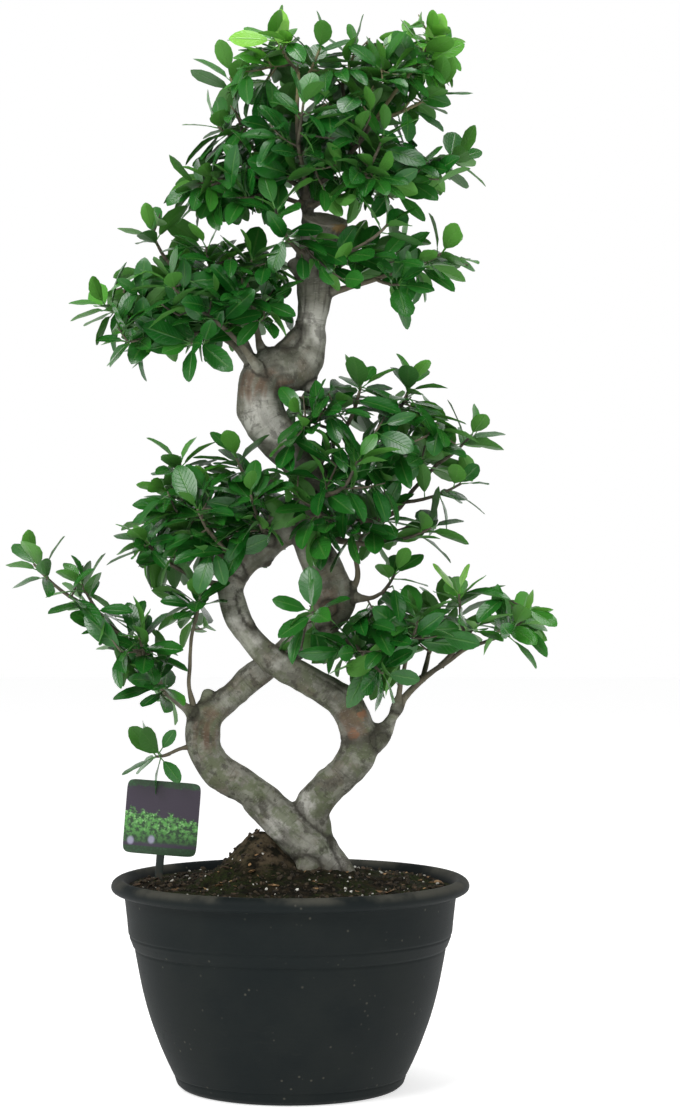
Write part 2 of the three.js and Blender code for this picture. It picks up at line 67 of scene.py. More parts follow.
# Each limb is a row of points (x, y, z, radius) along its middle line.
STEMS: dict[str, Points] = {
    "root_crown": (
        (22, 1, 150, 18), (22, 1, 190, 27), (21, 4, 222, 26), (15, 5, 242, 22), (11, 3, 256, 16),
    ),
    "left_stem": (
        (38, -12, 217, 12), (22, -13, 234, 17), (4, -9, 250, 19.5), (-14, -1, 268, 20.5),
        (-25, 2, 280, 19.5), (-41, 2, 294, 18), (-69, 2, 311, 18), (-85, 3, 330, 17.5),
        (-88, 3, 349, 18.5), (-83, 6, 366, 16.5), (-71, 8, 378, 14), (-59, 10, 387, 13),
        (-43, 13, 402, 14), (-29, 14, 413, 14), (-12, 15, 425, 14.5), (4, 14, 438, 15.5),
        (19, 12, 451, 17), (34, 9, 466, 19), (44, 5, 483, 21), (35, 2, 508, 20.5), (23, 1, 534, 17.5),
        (18, 0, 556, 17), (20, 0, 578, 17), (20, 0, 604, 17), (5, -1, 628, 18), (-12, -2, 644, 20.5),
        (-26, -2, 661, 22.5), (-31, -1, 682, 22.5), (-29, 0, 699, 23), (-19, 1, 712, 23.5),
        (-2, 2, 715, 23.5), (12, 3, 723, 20), (19, 2, 740, 16.5), (21, 1, 758, 15), (24, 1, 785, 17.5),
        (24, 0, 812, 18.5), (27, -1, 838, 19), (34, -2, 860, 21.5),
    ),
    "right_stem": (
        (30, 6, 222, 20), (24, 4, 250, 18.5), (22, 0, 274, 18.5), (29, -3, 288, 18.5), (39, -3, 299, 18.5),
        (53, -3, 312, 18), (64, -3, 326, 19), (69, -3, 343, 18.5), (64, -4, 362, 17.5), (55, -6, 379, 18),
        (42, -8, 390, 17.5), (26, -10, 399, 16.5), (9, -13, 409, 15.5), (-8, -14, 418, 15),
        (-25, -13, 431, 14), (-40, -10, 447, 12.5), (-52, -6, 463, 12), (-59, -3, 480, 11.5),
        (-59, -1, 496, 12), (-54, 0, 511, 13), (-44, 1, 523, 13), (-32, 2, 532, 14), (-20, 3, 543, 14),
        (-9, 3, 552, 14.5), (7, 2, 566, 14),
    ),
}

STUBS: dict[str, Points] = {
    "sawn_lip": ((30, -2, 858, 17), (46, -2, 868, 12), (56, -2, 870, 7)),
    "stub_left": ((-84, 6, 372, 9), (-83, 2, 389, 6)),
    "stub_window": ((-32, 3, 534, 8), (-23, 2, 521, 4)),
    "stub_bend": ((8, 2, 708, 12), (23, 0, 695, 6)),
    "web_bend": ((-26, 0, 712, 13), (-5, 1, 731, 13), (14, 1, 752, 12.5)),
    "twin_strand": ((-52, -6, 488, 6), (-44, -11, 462, 7), (-33, -15, 441, 7.5), (-19, -19, 423, 8)),
    "knob_column": ((14, -4, 812, 10), (3, -8, 818, 7)),
    "collar_right": ((68, -3, 344, 16), (84, -4, 345, 12), (90, -4, 350, 9)),
    "root_right": ((34, -3, 236, 13), (52, -8, 220, 8.5), (72, -14, 192, 4)),
    "root_front": ((20, -14, 226, 15), (14, -36, 208, 9), (8, -58, 178, 4)),
    "root_left": ((4, 4, 236, 16), (-28, 6, 224, 11), (-58, 10, 190, 4)),
    "root_back": ((24, 12, 226, 15), (30, 38, 208, 9), (36, 60, 176, 4)),
}

BRANCHES: dict[str, Points] = {
    "leader": ((19, -3, 862, 8), (17, -2, 884, 6), (15, 0, 906, 5)),
    "crown_left_upright": ((15, 0, 902, 4), (8, -6, 936, 3.2), (7, -8, 974, 2.8), (8, -8, 1010, 2.3)),
    "crown_middle": ((15, 2, 896, 3.8), (34, 10, 928, 3), (54, 12, 960, 2.6), (52, 10, 1002, 2.2)),
    "crown_right": ((16, 0, 890, 3.8), (50, -6, 918, 3.1), (80, -10, 956, 2.7), (110, -12, 998, 2.2)),
    "crown_right_low": ((17, 0, 880, 3.4), (60, 8, 892, 2.8), (104, 14, 910, 2.4), (132, 14, 920, 2.1)),
    "crown_left": ((15, 0, 894, 3.4), (-20, 6, 918, 2.8), (-44, 10, 946, 2.4), (-54, 10, 972, 2.1)),
    "crown_left_low": ((17, -2, 878, 3.2), (-25, -8, 892, 2.6), (-60, -12, 904, 2.1)),
    "crown_front": ((16, -3, 886, 3.2), (14, -35, 905, 2.7), (8, -66, 930, 2.2)),
    "crown_back": ((16, 3, 884, 3.2), (24, 36, 908, 2.7), (12, 70, 940, 2.2)),
    "crown_front_right": ((18, -3, 874, 3.2), (45, -34, 888, 2.6), (74, -54, 902, 2.1)),
    "left_pad_out": (
        (-30, -8, 708, 8), (-56, -6, 738, 4), (-80, -4, 750, 3.2), (-115, -8, 748, 2.8),
        (-145, -8, 758, 2.4), (-160, -6, 766, 2.1),
    ),
    "left_pad_up": (
        (-34, 8, 710, 8), (-50, 4, 750, 4), (-74, 6, 784, 3.2), (-105, 6, 802, 2.6), (-124, 4, 824, 2.1),
    ),
    "left_pad_inner": ((-22, 0, 716, 7), (-34, -4, 752, 3.6), (-38, -10, 782, 2.8), (-44, -12, 802, 2.2)),
    "left_pad_front": ((-24, -16, 706, 6), (-56, -34, 744, 3.2), (-83, -52, 766, 2.2)),
    "left_pad_back": ((-24, 16, 706, 6), (-58, 38, 748, 3.2), (-90, 58, 772, 2.2)),
    "right_pad_out": ((28, -2, 790, 7), (60, -9, 796, 3.4), (98, -14, 808, 2.7), (126, -14, 819, 2.1)),
    "right_pad_front": ((28, -8, 806, 7), (48, -36, 822, 3.2), (76, -54, 836, 2.2)),
    "right_pad_back": ((28, 8, 806, 7), (52, 40, 824, 3.2), (80, 60, 838, 2.3)),
    "right_pad_left": ((22, -10, 822, 6), (2, -32, 836, 2.6), (-8, -44, 850, 2.1)),
    "middle_right_front": ((20, -4, 614, 7), (44, -14, 642, 3.5), (58, -18, 662, 2.7), (66, -20, 682, 2.2)),
    "middle_right_up": (
        (20, 2, 598, 7), (64, 0, 624, 3.6), (88, -2, 646, 3), (104, -4, 664, 2.4), (112, -4, 680, 2.1),
    ),
    "middle_right_out": (
        (20, 4, 566, 7), (74, 6, 562, 3.8), (104, 6, 572, 3.2), (124, 8, 595, 2.7), (148, 8, 621, 2.2),
    ),
    "middle_right_low": ((22, -4, 550, 6), (70, -10, 540, 3.2), (104, -12, 544, 2.2)),
    "middle_right_fore": ((18, -8, 584, 6), (38, -40, 588, 3.2), (54, -58, 596, 2.3)),
    "middle_right_rear": ((20, 8, 580, 6), (50, 44, 596, 3.2), (80, 64, 610, 2.3)),
    "middle_twig": ((50, -2, 484, 9), (66, -2, 504, 3.6), (66, -6, 532, 2.8), (72, -10, 548, 2.2)),
    "middle_left_up": ((-52, 0, 516, 6), (-78, -2, 536, 3.4), (-100, -4, 562, 2.8), (-110, -4, 594, 2.2)),
    "middle_left_inner": ((-12, 0, 556, 7), (-34, -8, 586, 3.2), (-44, -10, 606, 2.3)),
    "middle_left_out": ((-56, -2, 494, 7), (-84, -4, 502, 3.2), (-110, -6, 514, 2.6), (-128, -6, 526, 2.1)),
    "middle_left_front": ((-50, -6, 510, 6), (-62, -34, 532, 3), (-78, -48, 550, 2.2)),
    "middle_left_back": ((-46, 6, 522, 6), (-62, 36, 542, 3), (-86, 58, 562, 2.2)),
    "middle_left_fore": ((-20, -4, 542, 7), (-26, -32, 552, 2.8), (-30, -42, 562, 2.2)),
    "upright_twig": ((-92, 2, 360, 6), (-101, -2, 396, 2.6), (-99, -4, 440, 2.3), (-95, -6, 462, 2.1)),
    "left_spray": (
        (-88, 2, 362, 10), (-104, -2, 376, 5), (-126, -4, 394, 4), (-143, -5, 422, 3.4),
        (-166, -6, 446, 3), (-190, -6, 467, 2.6), (-214, -6, 484, 2.2),
    ),
    "right_spray": (
        (74, -3, 344, 15), (92, -4, 352, 8), (101, -5, 366, 5.6), (112, -6, 384, 4.6), (126, -7, 400, 3.9),
        (143, -8, 414, 3.4), (158, -8, 424, 3.1), (176, -8, 436, 2.6), (198, -8, 444, 2.2),
    ),
    "right_spray_up": ((150, -8, 418, 3.4), (172, -10, 446, 2.4), (170, -12, 462, 2.1)),
    "right_spray_front": ((106, -6, 376, 4.4), (112, -18, 412, 2.7), (120, -30, 440, 2.1)),
    "right_spray_back": ((132, -6, 405, 3.4), (140, 30, 434, 2.6), (146, 44, 452, 2.1)),
    "trunk_front_twig": ((40, -4, 480, 9), (36, -38, 468, 2.6), (32, -46, 468, 2.1)),
    "trunk_low_twig": ((28, 4, 458, 9), (62, -20, 440, 3), (78, -28, 426, 2.1)),
    "trunk_right_twig": ((48, 0, 488, 9), (78, -10, 486, 2.9), (92, -14, 492, 2.1)),
    "low_shoot_twig": ((-88, 0, 340, 7), (-108, -6, 336, 2.3), (-120, -8, 331, 2.1)),
}

# The leafy shoots of each tier: the branch, the share along it where a shoot starts, its tip, and how new
# its leaves are, from 0 for old to 1 for just opened.
SHOOTS: dict[str, tuple[tuple[str, float, Spot, float], ...]] = {
    "crown": (
        ("crown_left_upright", 1, (-14, -10, 1042), 0.95),
        ("crown_left_upright", 0.8, (30, -24, 1032), 0.55), ("crown_middle", 1, (64, 12, 1034), 0.6),
        ("crown_middle", 0.62, (92, -22, 1010), 0.62), ("crown_right", 1, (140, -12, 1041), 1.0),
        ("crown_right", 0.72, (146, -14, 990), 0.6), ("crown_right_low", 1, (168, 14, 926), 0.55),
        ("crown_right_low", 0.5, (106, -16, 890), 0.4), ("crown_left", 1, (-60, 10, 1010), 0.7),
        ("crown_left", 0.6, (-72, -8, 956), 0.5), ("crown_left_low", 1, (-94, -10, 896), 0.4),
        ("crown_left_low", 0.5, (-46, -34, 882), 0.4), ("crown_front", 1, (14, -92, 966), 0.4),
        ("crown_front_right", 1, (92, -62, 938), 0.4), ("crown_back", 1, (2, 96, 980), 0.4),
    ),
    "left_pad": (
        ("left_pad_out", 1, (-186, -6, 778), 0.72), ("left_pad_out", 0.7, (-160, -28, 740), 0.4),
        ("left_pad_out", 0.42, (-98, -34, 738), 0.4), ("left_pad_up", 1, (-138, 4, 850), 0.6),
        ("left_pad_up", 0.5, (-84, -10, 836), 0.55), ("left_pad_inner", 1, (-38, -20, 822), 0.4),
        ("left_pad_front", 1, (-118, -64, 796), 0.4), ("left_pad_back", 1, (-116, 76, 808), 0.4),
    ),
    "right_pad": (
        ("right_pad_out", 1, (152, -14, 830), 0.6), ("right_pad_out", 0.55, (108, -34, 796), 0.4),
        ("right_pad_front", 1, (96, -64, 852), 0.4), ("right_pad_back", 1, (108, 66, 846), 0.4),
        ("right_pad_left", 1, (-14, -56, 868), 0.4),
    ),
    "middle_right": (
        ("middle_right_front", 1, (70, -18, 696), 0.4), ("middle_right_front", 0.5, (12, -38, 666), 0.4),
        ("middle_right_up", 1, (120, -4, 700), 0.6), ("middle_right_out", 1, (182, 8, 650), 0.55),
        ("middle_right_out", 0.62, (170, -8, 600), 0.4), ("middle_right_low", 1, (140, -12, 556), 0.4),
        ("middle_right_fore", 1, (66, -72, 620), 0.4), ("middle_right_rear", 1, (108, 76, 624), 0.4),
        ("middle_twig", 1, (92, -22, 568), 0.4),
    ),
    "middle_left": (
        ("middle_left_up", 1, (-110, -4, 620), 0.75), ("middle_left_inner", 1, (-54, -14, 626), 0.4),
        ("middle_left_out", 1, (-146, -6, 544), 0.55), ("middle_left_front", 1, (-90, -62, 574), 0.4),
        ("middle_left_back", 1, (-106, 72, 586), 0.4), ("middle_left_fore", 1, (-38, -56, 588), 0.4),
        ("upright_twig", 1, (-90, -8, 488), 0.4),
    ),
    "left_spray": (
        ("left_spray", 1, (-256, -6, 520), 0.62), ("left_spray", 0.78, (-208, -10, 500), 0.6),
        ("left_spray", 0.5, (-150, -22, 448), 0.4), ("left_spray", 0.3, (-132, -14, 404), 0.4),
    ),
    "low_shoot": (("low_shoot_twig", 1, (-134, -8, 328), 0.4),),
    "right_spray": (
        ("right_spray", 1, (230, -10, 462), 0.85), ("right_spray_up", 1, (168, -14, 490), 0.95),
        ("right_spray_front", 1, (126, -40, 466), 0.4), ("right_spray_back", 1, (152, 62, 478), 0.4),
        ("trunk_front_twig", 1, (22, -62, 474), 0.4), ("trunk_low_twig", 1, (92, -38, 412), 0.4),
        ("trunk_right_twig", 1, (104, -18, 510), 0.4),
    ),
}


class Slot(Enum):
    """Names of material slots; the pieces do not read them."""

    POT = "pot"
    SOIL = "soil"
    BARK = "bark"
    LABEL = "label"
    LEAF = "leaf"


# Shader maths


def operator(operation: str, swapped: bool = False) -> Callable[["Wire", Number], "Wire"]:
    """The method of an arithmetic sign, one Math node.

    Args:
        operation: the node's operation.
        swapped: whether the other value comes first, as in 1 - mask.

    Returns:
        The method.
    """

    def apply(wire: "Wire", other: Number) -> "Wire":
        """The operation's result."""
        return wire.maths(operation, other, wire) if swapped else wire.maths(operation, wire, other)

    return apply


class Wire:
    """A value inside a material: an output socket that takes part in arithmetic."""

    __add__, __radd__ = operator("ADD"), operator("ADD", True)
    __sub__, __rsub__ = operator("SUBTRACT"), operator("SUBTRACT", True)
    __mul__, __rmul__ = operator("MULTIPLY"), operator("MULTIPLY", True)

    def __init__(self, shade: "Shade", socket: bpy.types.NodeSocket) -> None:
        """Keeps the material that the socket belongs to."""
        self.shade = shade
        self.socket = socket

    def maths(self, operation: str, *values: Number) -> "Wire":
        """The result of a Math node with these inputs in order."""
        return self.shade.node("ShaderNodeMath", {"operation": operation}, dict(enumerate(values)))

    def __abs__(self) -> "Wire":
        """The value without its sign."""
        return self.maths("ABSOLUTE", self)

    def part(self) -> "Wire":
        """The fraction above the whole number below."""
        return self.maths("FRACT", self)

    def either(self, other: Number) -> "Wire":
        """The larger of the two."""
        return self.maths("MAXIMUM", self, other)

    def step(self, low: float, high: float, start: float = 0.0, end: float = 1.0) -> "Wire":
        """A soft step, start + (end - start) (3t^2 - 2t^3) with t from 0 at low to 1 at high.

        Args:
            low: where it starts, above high for a falling step.
            high: where it ends.
            start: its value at low.
            end: its value at high.

        Returns:
            The step.
        """
        if low > high:
            return 1 - self.step(high, low)
        settings = {"interpolation_type": "SMOOTHSTEP"}
        return self.shade.node("ShaderNodeMapRange", settings, {0: self, 1: low, 2: high, 3: start, 4: end})


class Shade:
    """A procedural material and the nodes it is built from."""

    def __init__(self, name: str, sky: bool = False) -> None:
        """Starts an empty material of that name, or an empty sky.

        Args:
            name: the material's name.
            sky: whether it is a sky.
        """
        self.material = (bpy.data.worlds if sky else bpy.data.materials).new(name)
        self.material.use_nodes = True
        self.tree = self.material.node_tree
        self.tree.nodes.clear()

    def node(self, kind: str, settings: Options = None, sockets: Options = None, out: int = 0) -> Wire:
        """Adds one node.

        Args:
            kind: its type.
            settings: its properties, set first.
            sockets: values or wires for its inputs, by name or number.
            out: which output is wanted.

        Returns:
            That output, or the first input of a node without outputs.
        """
        made = self.tree.nodes.new(kind)
        for key, value in (settings or {}).items():
            setattr(made, key, value)
        for key, value in (sockets or {}).items():
            if isinstance(value, Wire):
                self.tree.links.new(value.socket, made.inputs[key])
            else:
                colour = isinstance(value, tuple) and len(value) == 3 and made.inputs[key].type == "RGBA"
                made.inputs[key].default_value = (*value, 1) if colour else value
        return Wire(self, made.outputs[out] if made.outputs else made.inputs[0])

    def place(self) -> Wire:
        """The point of the surface in the row frame, in metres."""
        return self.node("ShaderNodeTexCoord", out=3)

    def attribute(self, name: str, out: int = 1) -> Wire:
        """A value stored on the mesh: out 1 is its vector and 2 its number."""
        return self.node("ShaderNodeAttribute", {"attribute_name": name}, out=out)

    def scaled(self, vector: Wire, factors: Spot) -> Wire:
        """The vector with each axis multiplied by its own factor."""
        return self.node("ShaderNodeVectorMath", {"operation": "MULTIPLY"}, {0: vector, 1: factors})

    def axis(self, vector: Wire, which: int) -> Wire:
        """One axis of a vector: 0 for X, 1 for Y and 2 for Z."""
        return self.node("ShaderNodeSeparateXYZ", None, {0: vector}, which)

    def reach(self, vector: Wire, centre: Spot) -> Wire:
        """The distance of a point from a centre."""
        return self.node("ShaderNodeVectorMath", {"operation": "DISTANCE"}, {0: vector, 1: centre}, 1)

    def noise(self, vector: Wire, scale: float, detail: float = 3.0, rough: float = 0.55) -> Wire:
        """Cloudy noise from 0 to 1: scale features a metre, detail octaves, each rough times the last."""
        sockets = {"Vector": vector, "Scale": scale, "Detail": detail, "Roughness": rough}
        return self.node("ShaderNodeTexNoise", None, sockets)

    def cells(self, vector: Wire, scale: float) -> Wire:
        """Distance from the nearest of many scattered points, 0 at the point."""
        return self.node("ShaderNodeTexVoronoi", None, {"Vector": vector, "Scale": scale})

    def blend(self, share: Number, first: Any, second: Any) -> Wire:
        """A colour from first at share 0 to second at share 1."""
        return self.node("ShaderNodeMix", {"data_type": "RGBA"}, {0: share, 6: first, 7: second}, 2)

    def coats(self, base: Any, *coats: tuple[Number, Any]) -> Wire:
        """A base colour under further ones, each laid on by its own mask.

        Args:
            base: the colour below.
            coats: a mask and a colour each, the last on top.

        Returns:
            The colour.
        """
        for mask, colour in coats:
            base = self.blend(mask, base, colour)
        return base

    def bump(self, height: Wire, depth: float, strength: float = 1.0) -> Wire:
        """A normal bent by a height from 0 to 1, where 1 is depth metres and strength is how much shows."""
        return self.node("ShaderNodeBump", None, {"Strength": strength, "Distance": depth, "Height": height})

    def finish(self, base: Any, roughness: Any, normal: Optional[Wire] = None, **fixed: Any) -> Material:
        """Closes the material with one principled surface.

        Args:
            base: its colour.
            roughness: its roughness.
            normal: a bent normal.
            fixed: other sockets, by name with _ for a space, the same all over.

        Returns:
            The material.
        """
        sockets = {"Base Color": base, "Roughness": roughness}
        sockets |= {name.replace("_", " "): value for name, value in fixed.items()}
        if normal is not None:
            sockets["Normal"] = normal
        surface = self.node("ShaderNodeBsdfPrincipled", None, sockets)
        self.node("ShaderNodeOutputMaterial", None, {"Surface": surface})
        return self.material


# Finishes


@dataclass(frozen=True)
class PotPlastic:
    """Charcoal moulded plastic: faint turned lines, dull scuffs and dust on what faces up."""

    dark: Spot = (0.0062, 0.0095, 0.0098)
    worn: Spot = (0.015, 0.018, 0.0165)
    dust: Spot = (0.095, 0.092, 0.074)

    def make(self) -> Material:
        """Builds the material."""
        shade = Shade("pot_plastic")
        place = shade.place()
        lines = shade.noise(shade.scaled(place, (5, 5, 420)), 1, 2)
        cloud = shade.noise(place, 16, 4)
        grain = shade.noise(place, 900, 2)
        scuff = shade.noise(shade.scaled(place, (60, 60, 190)), 1, 3).step(0.62, 0.74)
        speck = shade.cells(place, 95).step(0.16, 0.05) * shade.noise(place, 30, 1).step(0.5, 0.62)
        rim = shade.axis(place, 2).step(0.1985, 0.206)
        dusty = (rim * cloud.step(0.38, 0.6) * 0.6).either(speck * 0.55)
        worn = cloud.step(0.3, 0.72) * 0.45
        base = shade.coats(self.dark, (worn, self.worn), (scuff * 0.35, self.worn), (dusty, self.dust))
        rough = 0.56 + 0.14 * cloud + 0.16 * dusty + 0.06 * scuff
        relief = 0.5 * lines + 0.35 * grain + 0.25 * scuff
        return shade.finish(base, rough, shade.bump(relief, 0.0006, 0.55), Specular_IOR_Level=0.11)


@dataclass(frozen=True)
class Earth:
    """Damp potting soil: near black, with brown fibres, and green where moss has started."""

    dark: Spot = (0.0055, 0.0048, 0.0028)
    brown: Spot = (0.024, 0.017, 0.009)
    red: Spot = (0.085, 0.064, 0.04)
    moss: Spot = (0.022, 0.032, 0.008)
    fibre: Spot = (0.07, 0.048, 0.026)

    def make(self) -> Material:
        """Builds the material."""
        shade = Shade("earth")
        place = shade.place()
        clods = shade.noise(place, 70, 5, 0.62)
        fine = shade.noise(place, 420, 3, 0.6)
        fibre = shade.noise(shade.scaled(place, (120, 420, 300)), 1, 3).step(0.58, 0.7)
        mound = shade.axis(place, 2).step(0.212, 0.232)
        flank = shade.reach(shade.scaled(place, (1, 1, 0)), (0.01, 0, 0)).step(0.045, 0.095)
        growth = shade.noise(place, 26, 3).step(0.42, 0.6) * (0.3 + 0.7 * flank) * (1 - 0.4 * mound)
        base = shade.coats(
            self.dark,
            (clods.step(0.42, 0.7), self.brown),
            (mound * clods.step(0.4, 0.62), self.red),
            (growth * fine.step(0.35, 0.6) * 0.9, self.moss),
            (fibre * 0.35, self.fibre),
        )
        relief = 0.6 * clods + 0.4 * fine
        return shade.finish(base, 0.93, shade.bump(relief, 0.0028), Specular_IOR_Level=0.12)


@dataclass(frozen=True)
class Grit:
    """One sort of grain in the soil, mottled between two colours."""

    name: str
    pale: Spot
    deep: Spot
    roughness: float = 0.85

    def make(self) -> Material:
        """Builds the material."""
        shade = Shade(self.name)
        place = shade.place()
        spots = shade.noise(place, 150, 2).step(0.38, 0.62)
        grain = shade.noise(shade.scaled(place, (700, 260, 700)), 1, 3)
        base = shade.coats(self.deep, (spots, self.pale), (grain.step(0.5, 0.7) * 0.4, self.deep))
        return shade.finish(base, self.roughness, shade.bump(grain, 0.0006))


@dataclass(frozen=True)
class Bark:
    """Smooth fig bark: pale grey-beige with fine rings and pores, green low down, with painted shade in the
    creases.

    Patches are (x, y, z, radius) in millimetres.
    """

    name: str = "bark"
    pale: Spot = (0.262, 0.262, 0.222)
    # the bark's pale mottling, lifted further by painted light
    pale_and_lit: Spot = (0.42, 0.415, 0.375)
    grey: Spot = (0.108, 0.108, 0.084)
    dark: Spot = (0.034, 0.031, 0.023)
    green: Spot = (0.098, 0.118, 0.06)
    rust: Spot = (0.22, 0.105, 0.055)
    brown: Spot = (0.13, 0.078, 0.05)
    warm: Spot = (0.125, 0.1, 0.07)
    soiled: Spot = (0.1, 0.085, 0.066)
    cut: Spot = (0.33, 0.3, 0.25)
    tan: Spot = (0.33, 0.21, 0.08)
    young: Spot = (0.15, 0.128, 0.084)
    shoot: Spot = (0.3, 0.27, 0.125)
    cut_centre: Spot = (0.036, 0.0, 0.866)
    tan_patches: Points = ((53, -18, 856, 9),)
    rusty_patches: Points = (
        (62.5, -20, 351, 5.5), (71, -18, 362, 4.2), (72.5, -18, 370, 4.2), (34, -22, 560, 5),
    )
    brown_patches: Points = (
        (-40, -18, 697, 16), (-22, -20, 699, 16), (-6, -20, 697, 12), (-84, -14, 352, 17),
        (-78, -14, 374, 14), (30, -20, 540, 16), (62, -18, 362, 18), (34, -20, 478, 18),
    )
    # pale patches on the wood's front: partly the bark's own pale mottling and partly painted light on the
    # side facing the light
    pale_and_lit_patches: Points = (
        (-30, -20, 672, 19), (-18, -20, 655, 17), (-40, -18, 662, 14), (26, -14, 768, 15),
        (30, -14, 750, 12), (-40, -18, 440, 12), (-50, -12, 462, 12), (36, -20, 236, 14),
        (50, -20, 222, 10), (14, -18, 282, 16), (-10, -20, 262, 16), (-12, -20, 425, 10),
    )

    def patches(self, shade: Shade, place: Wire, spots: Points) -> Wire:
        """A mask that is 1 inside any of the patches, with ragged edges.

        Args:
            shade: the material.
            place: the point of the surface.
            spots: the patches.

        Returns:
            The mask.
        """
        ragged = (shade.noise(place, 90, 3) - 0.5) * 0.022
        masks = []
        for *centre, radius in spots:
            far = shade.reach(place, tuple(value * MM for value in centre)) + ragged
            masks.append(far.step(radius * 1.25 * MM, radius * 0.45 * MM))
        return reduce(Wire.either, masks)

    def make(self) -> Material:
        """Builds the material, from the broad clouds to the sawn top and the young bark of thin wood."""
        shade = Shade(self.name)
        place = shade.place()
        grain = shade.attribute("grain")
        girth = shade.attribute("girth", 2)
        crease = shade.attribute("crease", 2)
        height = shade.axis(place, 2)
        rings = shade.noise(shade.scaled(grain, (38, 38, 330)), 1, 4, 0.6)
        bands = shade.noise(shade.scaled(grain, (14, 14, 70)), 1, 3)
        streaks = shade.noise(shade.scaled(grain, (150, 150, 20)), 1, 3)
        cloud = shade.noise(place, 24, 4, 0.62)
        blotch = shade.noise(place, 62, 5, 0.66)
        pores = shade.cells(shade.scaled(grain, (170, 170, 420)), 1).step(0.32, 0.12)
        lower = height.step(0.56, 0.3)
        column = height.step(0.762, 0.785) * height.step(0.875, 0.85)
        mossy = shade.noise(place, 40, 5, 0.68).step(0.45, 0.57)
        lichen = shade.noise(place, 52, 4, 0.62).step(0.5, 0.6)
        brown = self.patches(shade, place, self.brown_patches) * streaks.step(0.36, 0.56)
        rusty = self.patches(shade, place, self.rusty_patches) * rings.step(0.22, 0.55)
        circles = (shade.reach(place, self.cut_centre) * 330).part().step(0.2, 0.6)
        wood = shade.blend(circles * 0.18 + blotch.step(0.4, 0.7) * 0.35, self.cut, self.dark)
        twig = shade.blend(height.step(0.945, 0.985), self.young, self.shoot)
        base = shade.coats(
            self.grey,
            (cloud.step(0.4, 0.58), self.pale),
            (shade.noise(place, 36, 4, 0.6).step(0.48, 0.62) * 0.55, self.warm),
            (bands.step(0.44, 0.7) * 0.5, self.grey),
            # pale mottling mixed with painted light on the front of the wood
            (self.patches(shade, place, self.pale_and_lit_patches) * 0.8, self.pale_and_lit),
            (mossy * (0.14 + 0.6 * lower), self.green),
            (lichen * 0.5 * lower, self.pale),
            (blotch.step(0.52, 0.62) * (0.52 + 0.14 * lower + 0.16 * column), self.dark),
            (column * 0.74, self.grey),
            (brown * 0.65, self.brown),
            (streaks.step(0.5, 0.66) * (0.28 + 0.36 * column), self.dark),
            (rings.step(0.54, 0.74) * 0.42, self.dark),
            (rusty * 0.85, self.rust),
            (pores * 0.3, self.pale),
            # painted shade: the bark darkens where limbs meet in creases and in folds
            (crease.step(0.25, 0.95) * 0.8, self.dark),
            (height.step(0.236, 0.208) * 0.45, self.soiled),
            (shade.attribute("sawn", 2), wood),
            (self.patches(shade, place, self.tan_patches) * 0.9, self.tan),
            (girth.step(0.0062, 0.0024) * 0.85, shade.blend(cloud.step(0.3, 0.7), self.dark, twig)),
        )
        relief = 0.42 * rings + 0.26 * streaks + 0.22 * pores + 0.18 * shade.noise(place, 520, 3)
        return shade.finish(base, 0.7 + 0.16 * cloud, shade.bump(relief, 0.0016, 1), Specular_IOR_Level=0.22)


@dataclass(frozen=True)
class LeafSkin:
    """A fig leaf: waxy dark green with a pale midrib, lighter and duller below, yellow-green when new."""

    old: Spot = (0.0056, 0.086, 0.0088)
    full: Spot = (0.026, 0.162, 0.017)
    young: Spot = (0.072, 0.305, 0.025)
    new: Spot = (0.22, 0.54, 0.06)
    rib: Spot = (0.09, 0.23, 0.045)
    below: Spot = (0.03, 0.11, 0.02)
    new_below: Spot = (0.13, 0.4, 0.04)

    def make(self) -> Material:
        """Builds the material."""
        shade = Shade("leaf_skin")
        blade = shade.node("ShaderNodeUVMap", {"uv_map": "blade"})
        side = abs(shade.axis(blade, 0) - 0.5) * 2
        along = shade.axis(blade, 1)
        # tint: how new the leaf is, with painted light added on up-facing leaves at tier rims
        tint = shade.attribute("tint", 2)
        under = shade.attribute("under", 2)
        cloud = shade.noise(shade.place(), 55, 3)
        midrib = side.step(0.13, 0.03) * along.step(1.02, 0.8)
        vein = abs((along * 9 - side * 2.1).part() - 0.5).step(0.1, 0.01) * side.step(0.98, 0.75)
        base = shade.coats(
            self.old,
            (tint.step(0, 0.6), self.full),
            (cloud.step(0.35, 0.7) * 0.3, self.full),
            (tint.step(0.4, 0.8), self.young),
            (tint.step(0.66, 1.02), self.new),
            (vein * 0.08, self.rib),
            (midrib * 0.42, self.rib),
            (under * 0.75, shade.blend(tint, self.below, self.new_below)),
        )
        rough = 0.16 + 0.28 * under + 0.16 * cloud
        relief = 0.6 * vein + 1 * midrib + 0.3 * shade.noise(shade.place(), 600, 2)
        return shade.finish(base, rough, shade.bump(relief, 0.0004, 0.6), Specular_IOR_Level=0.46)


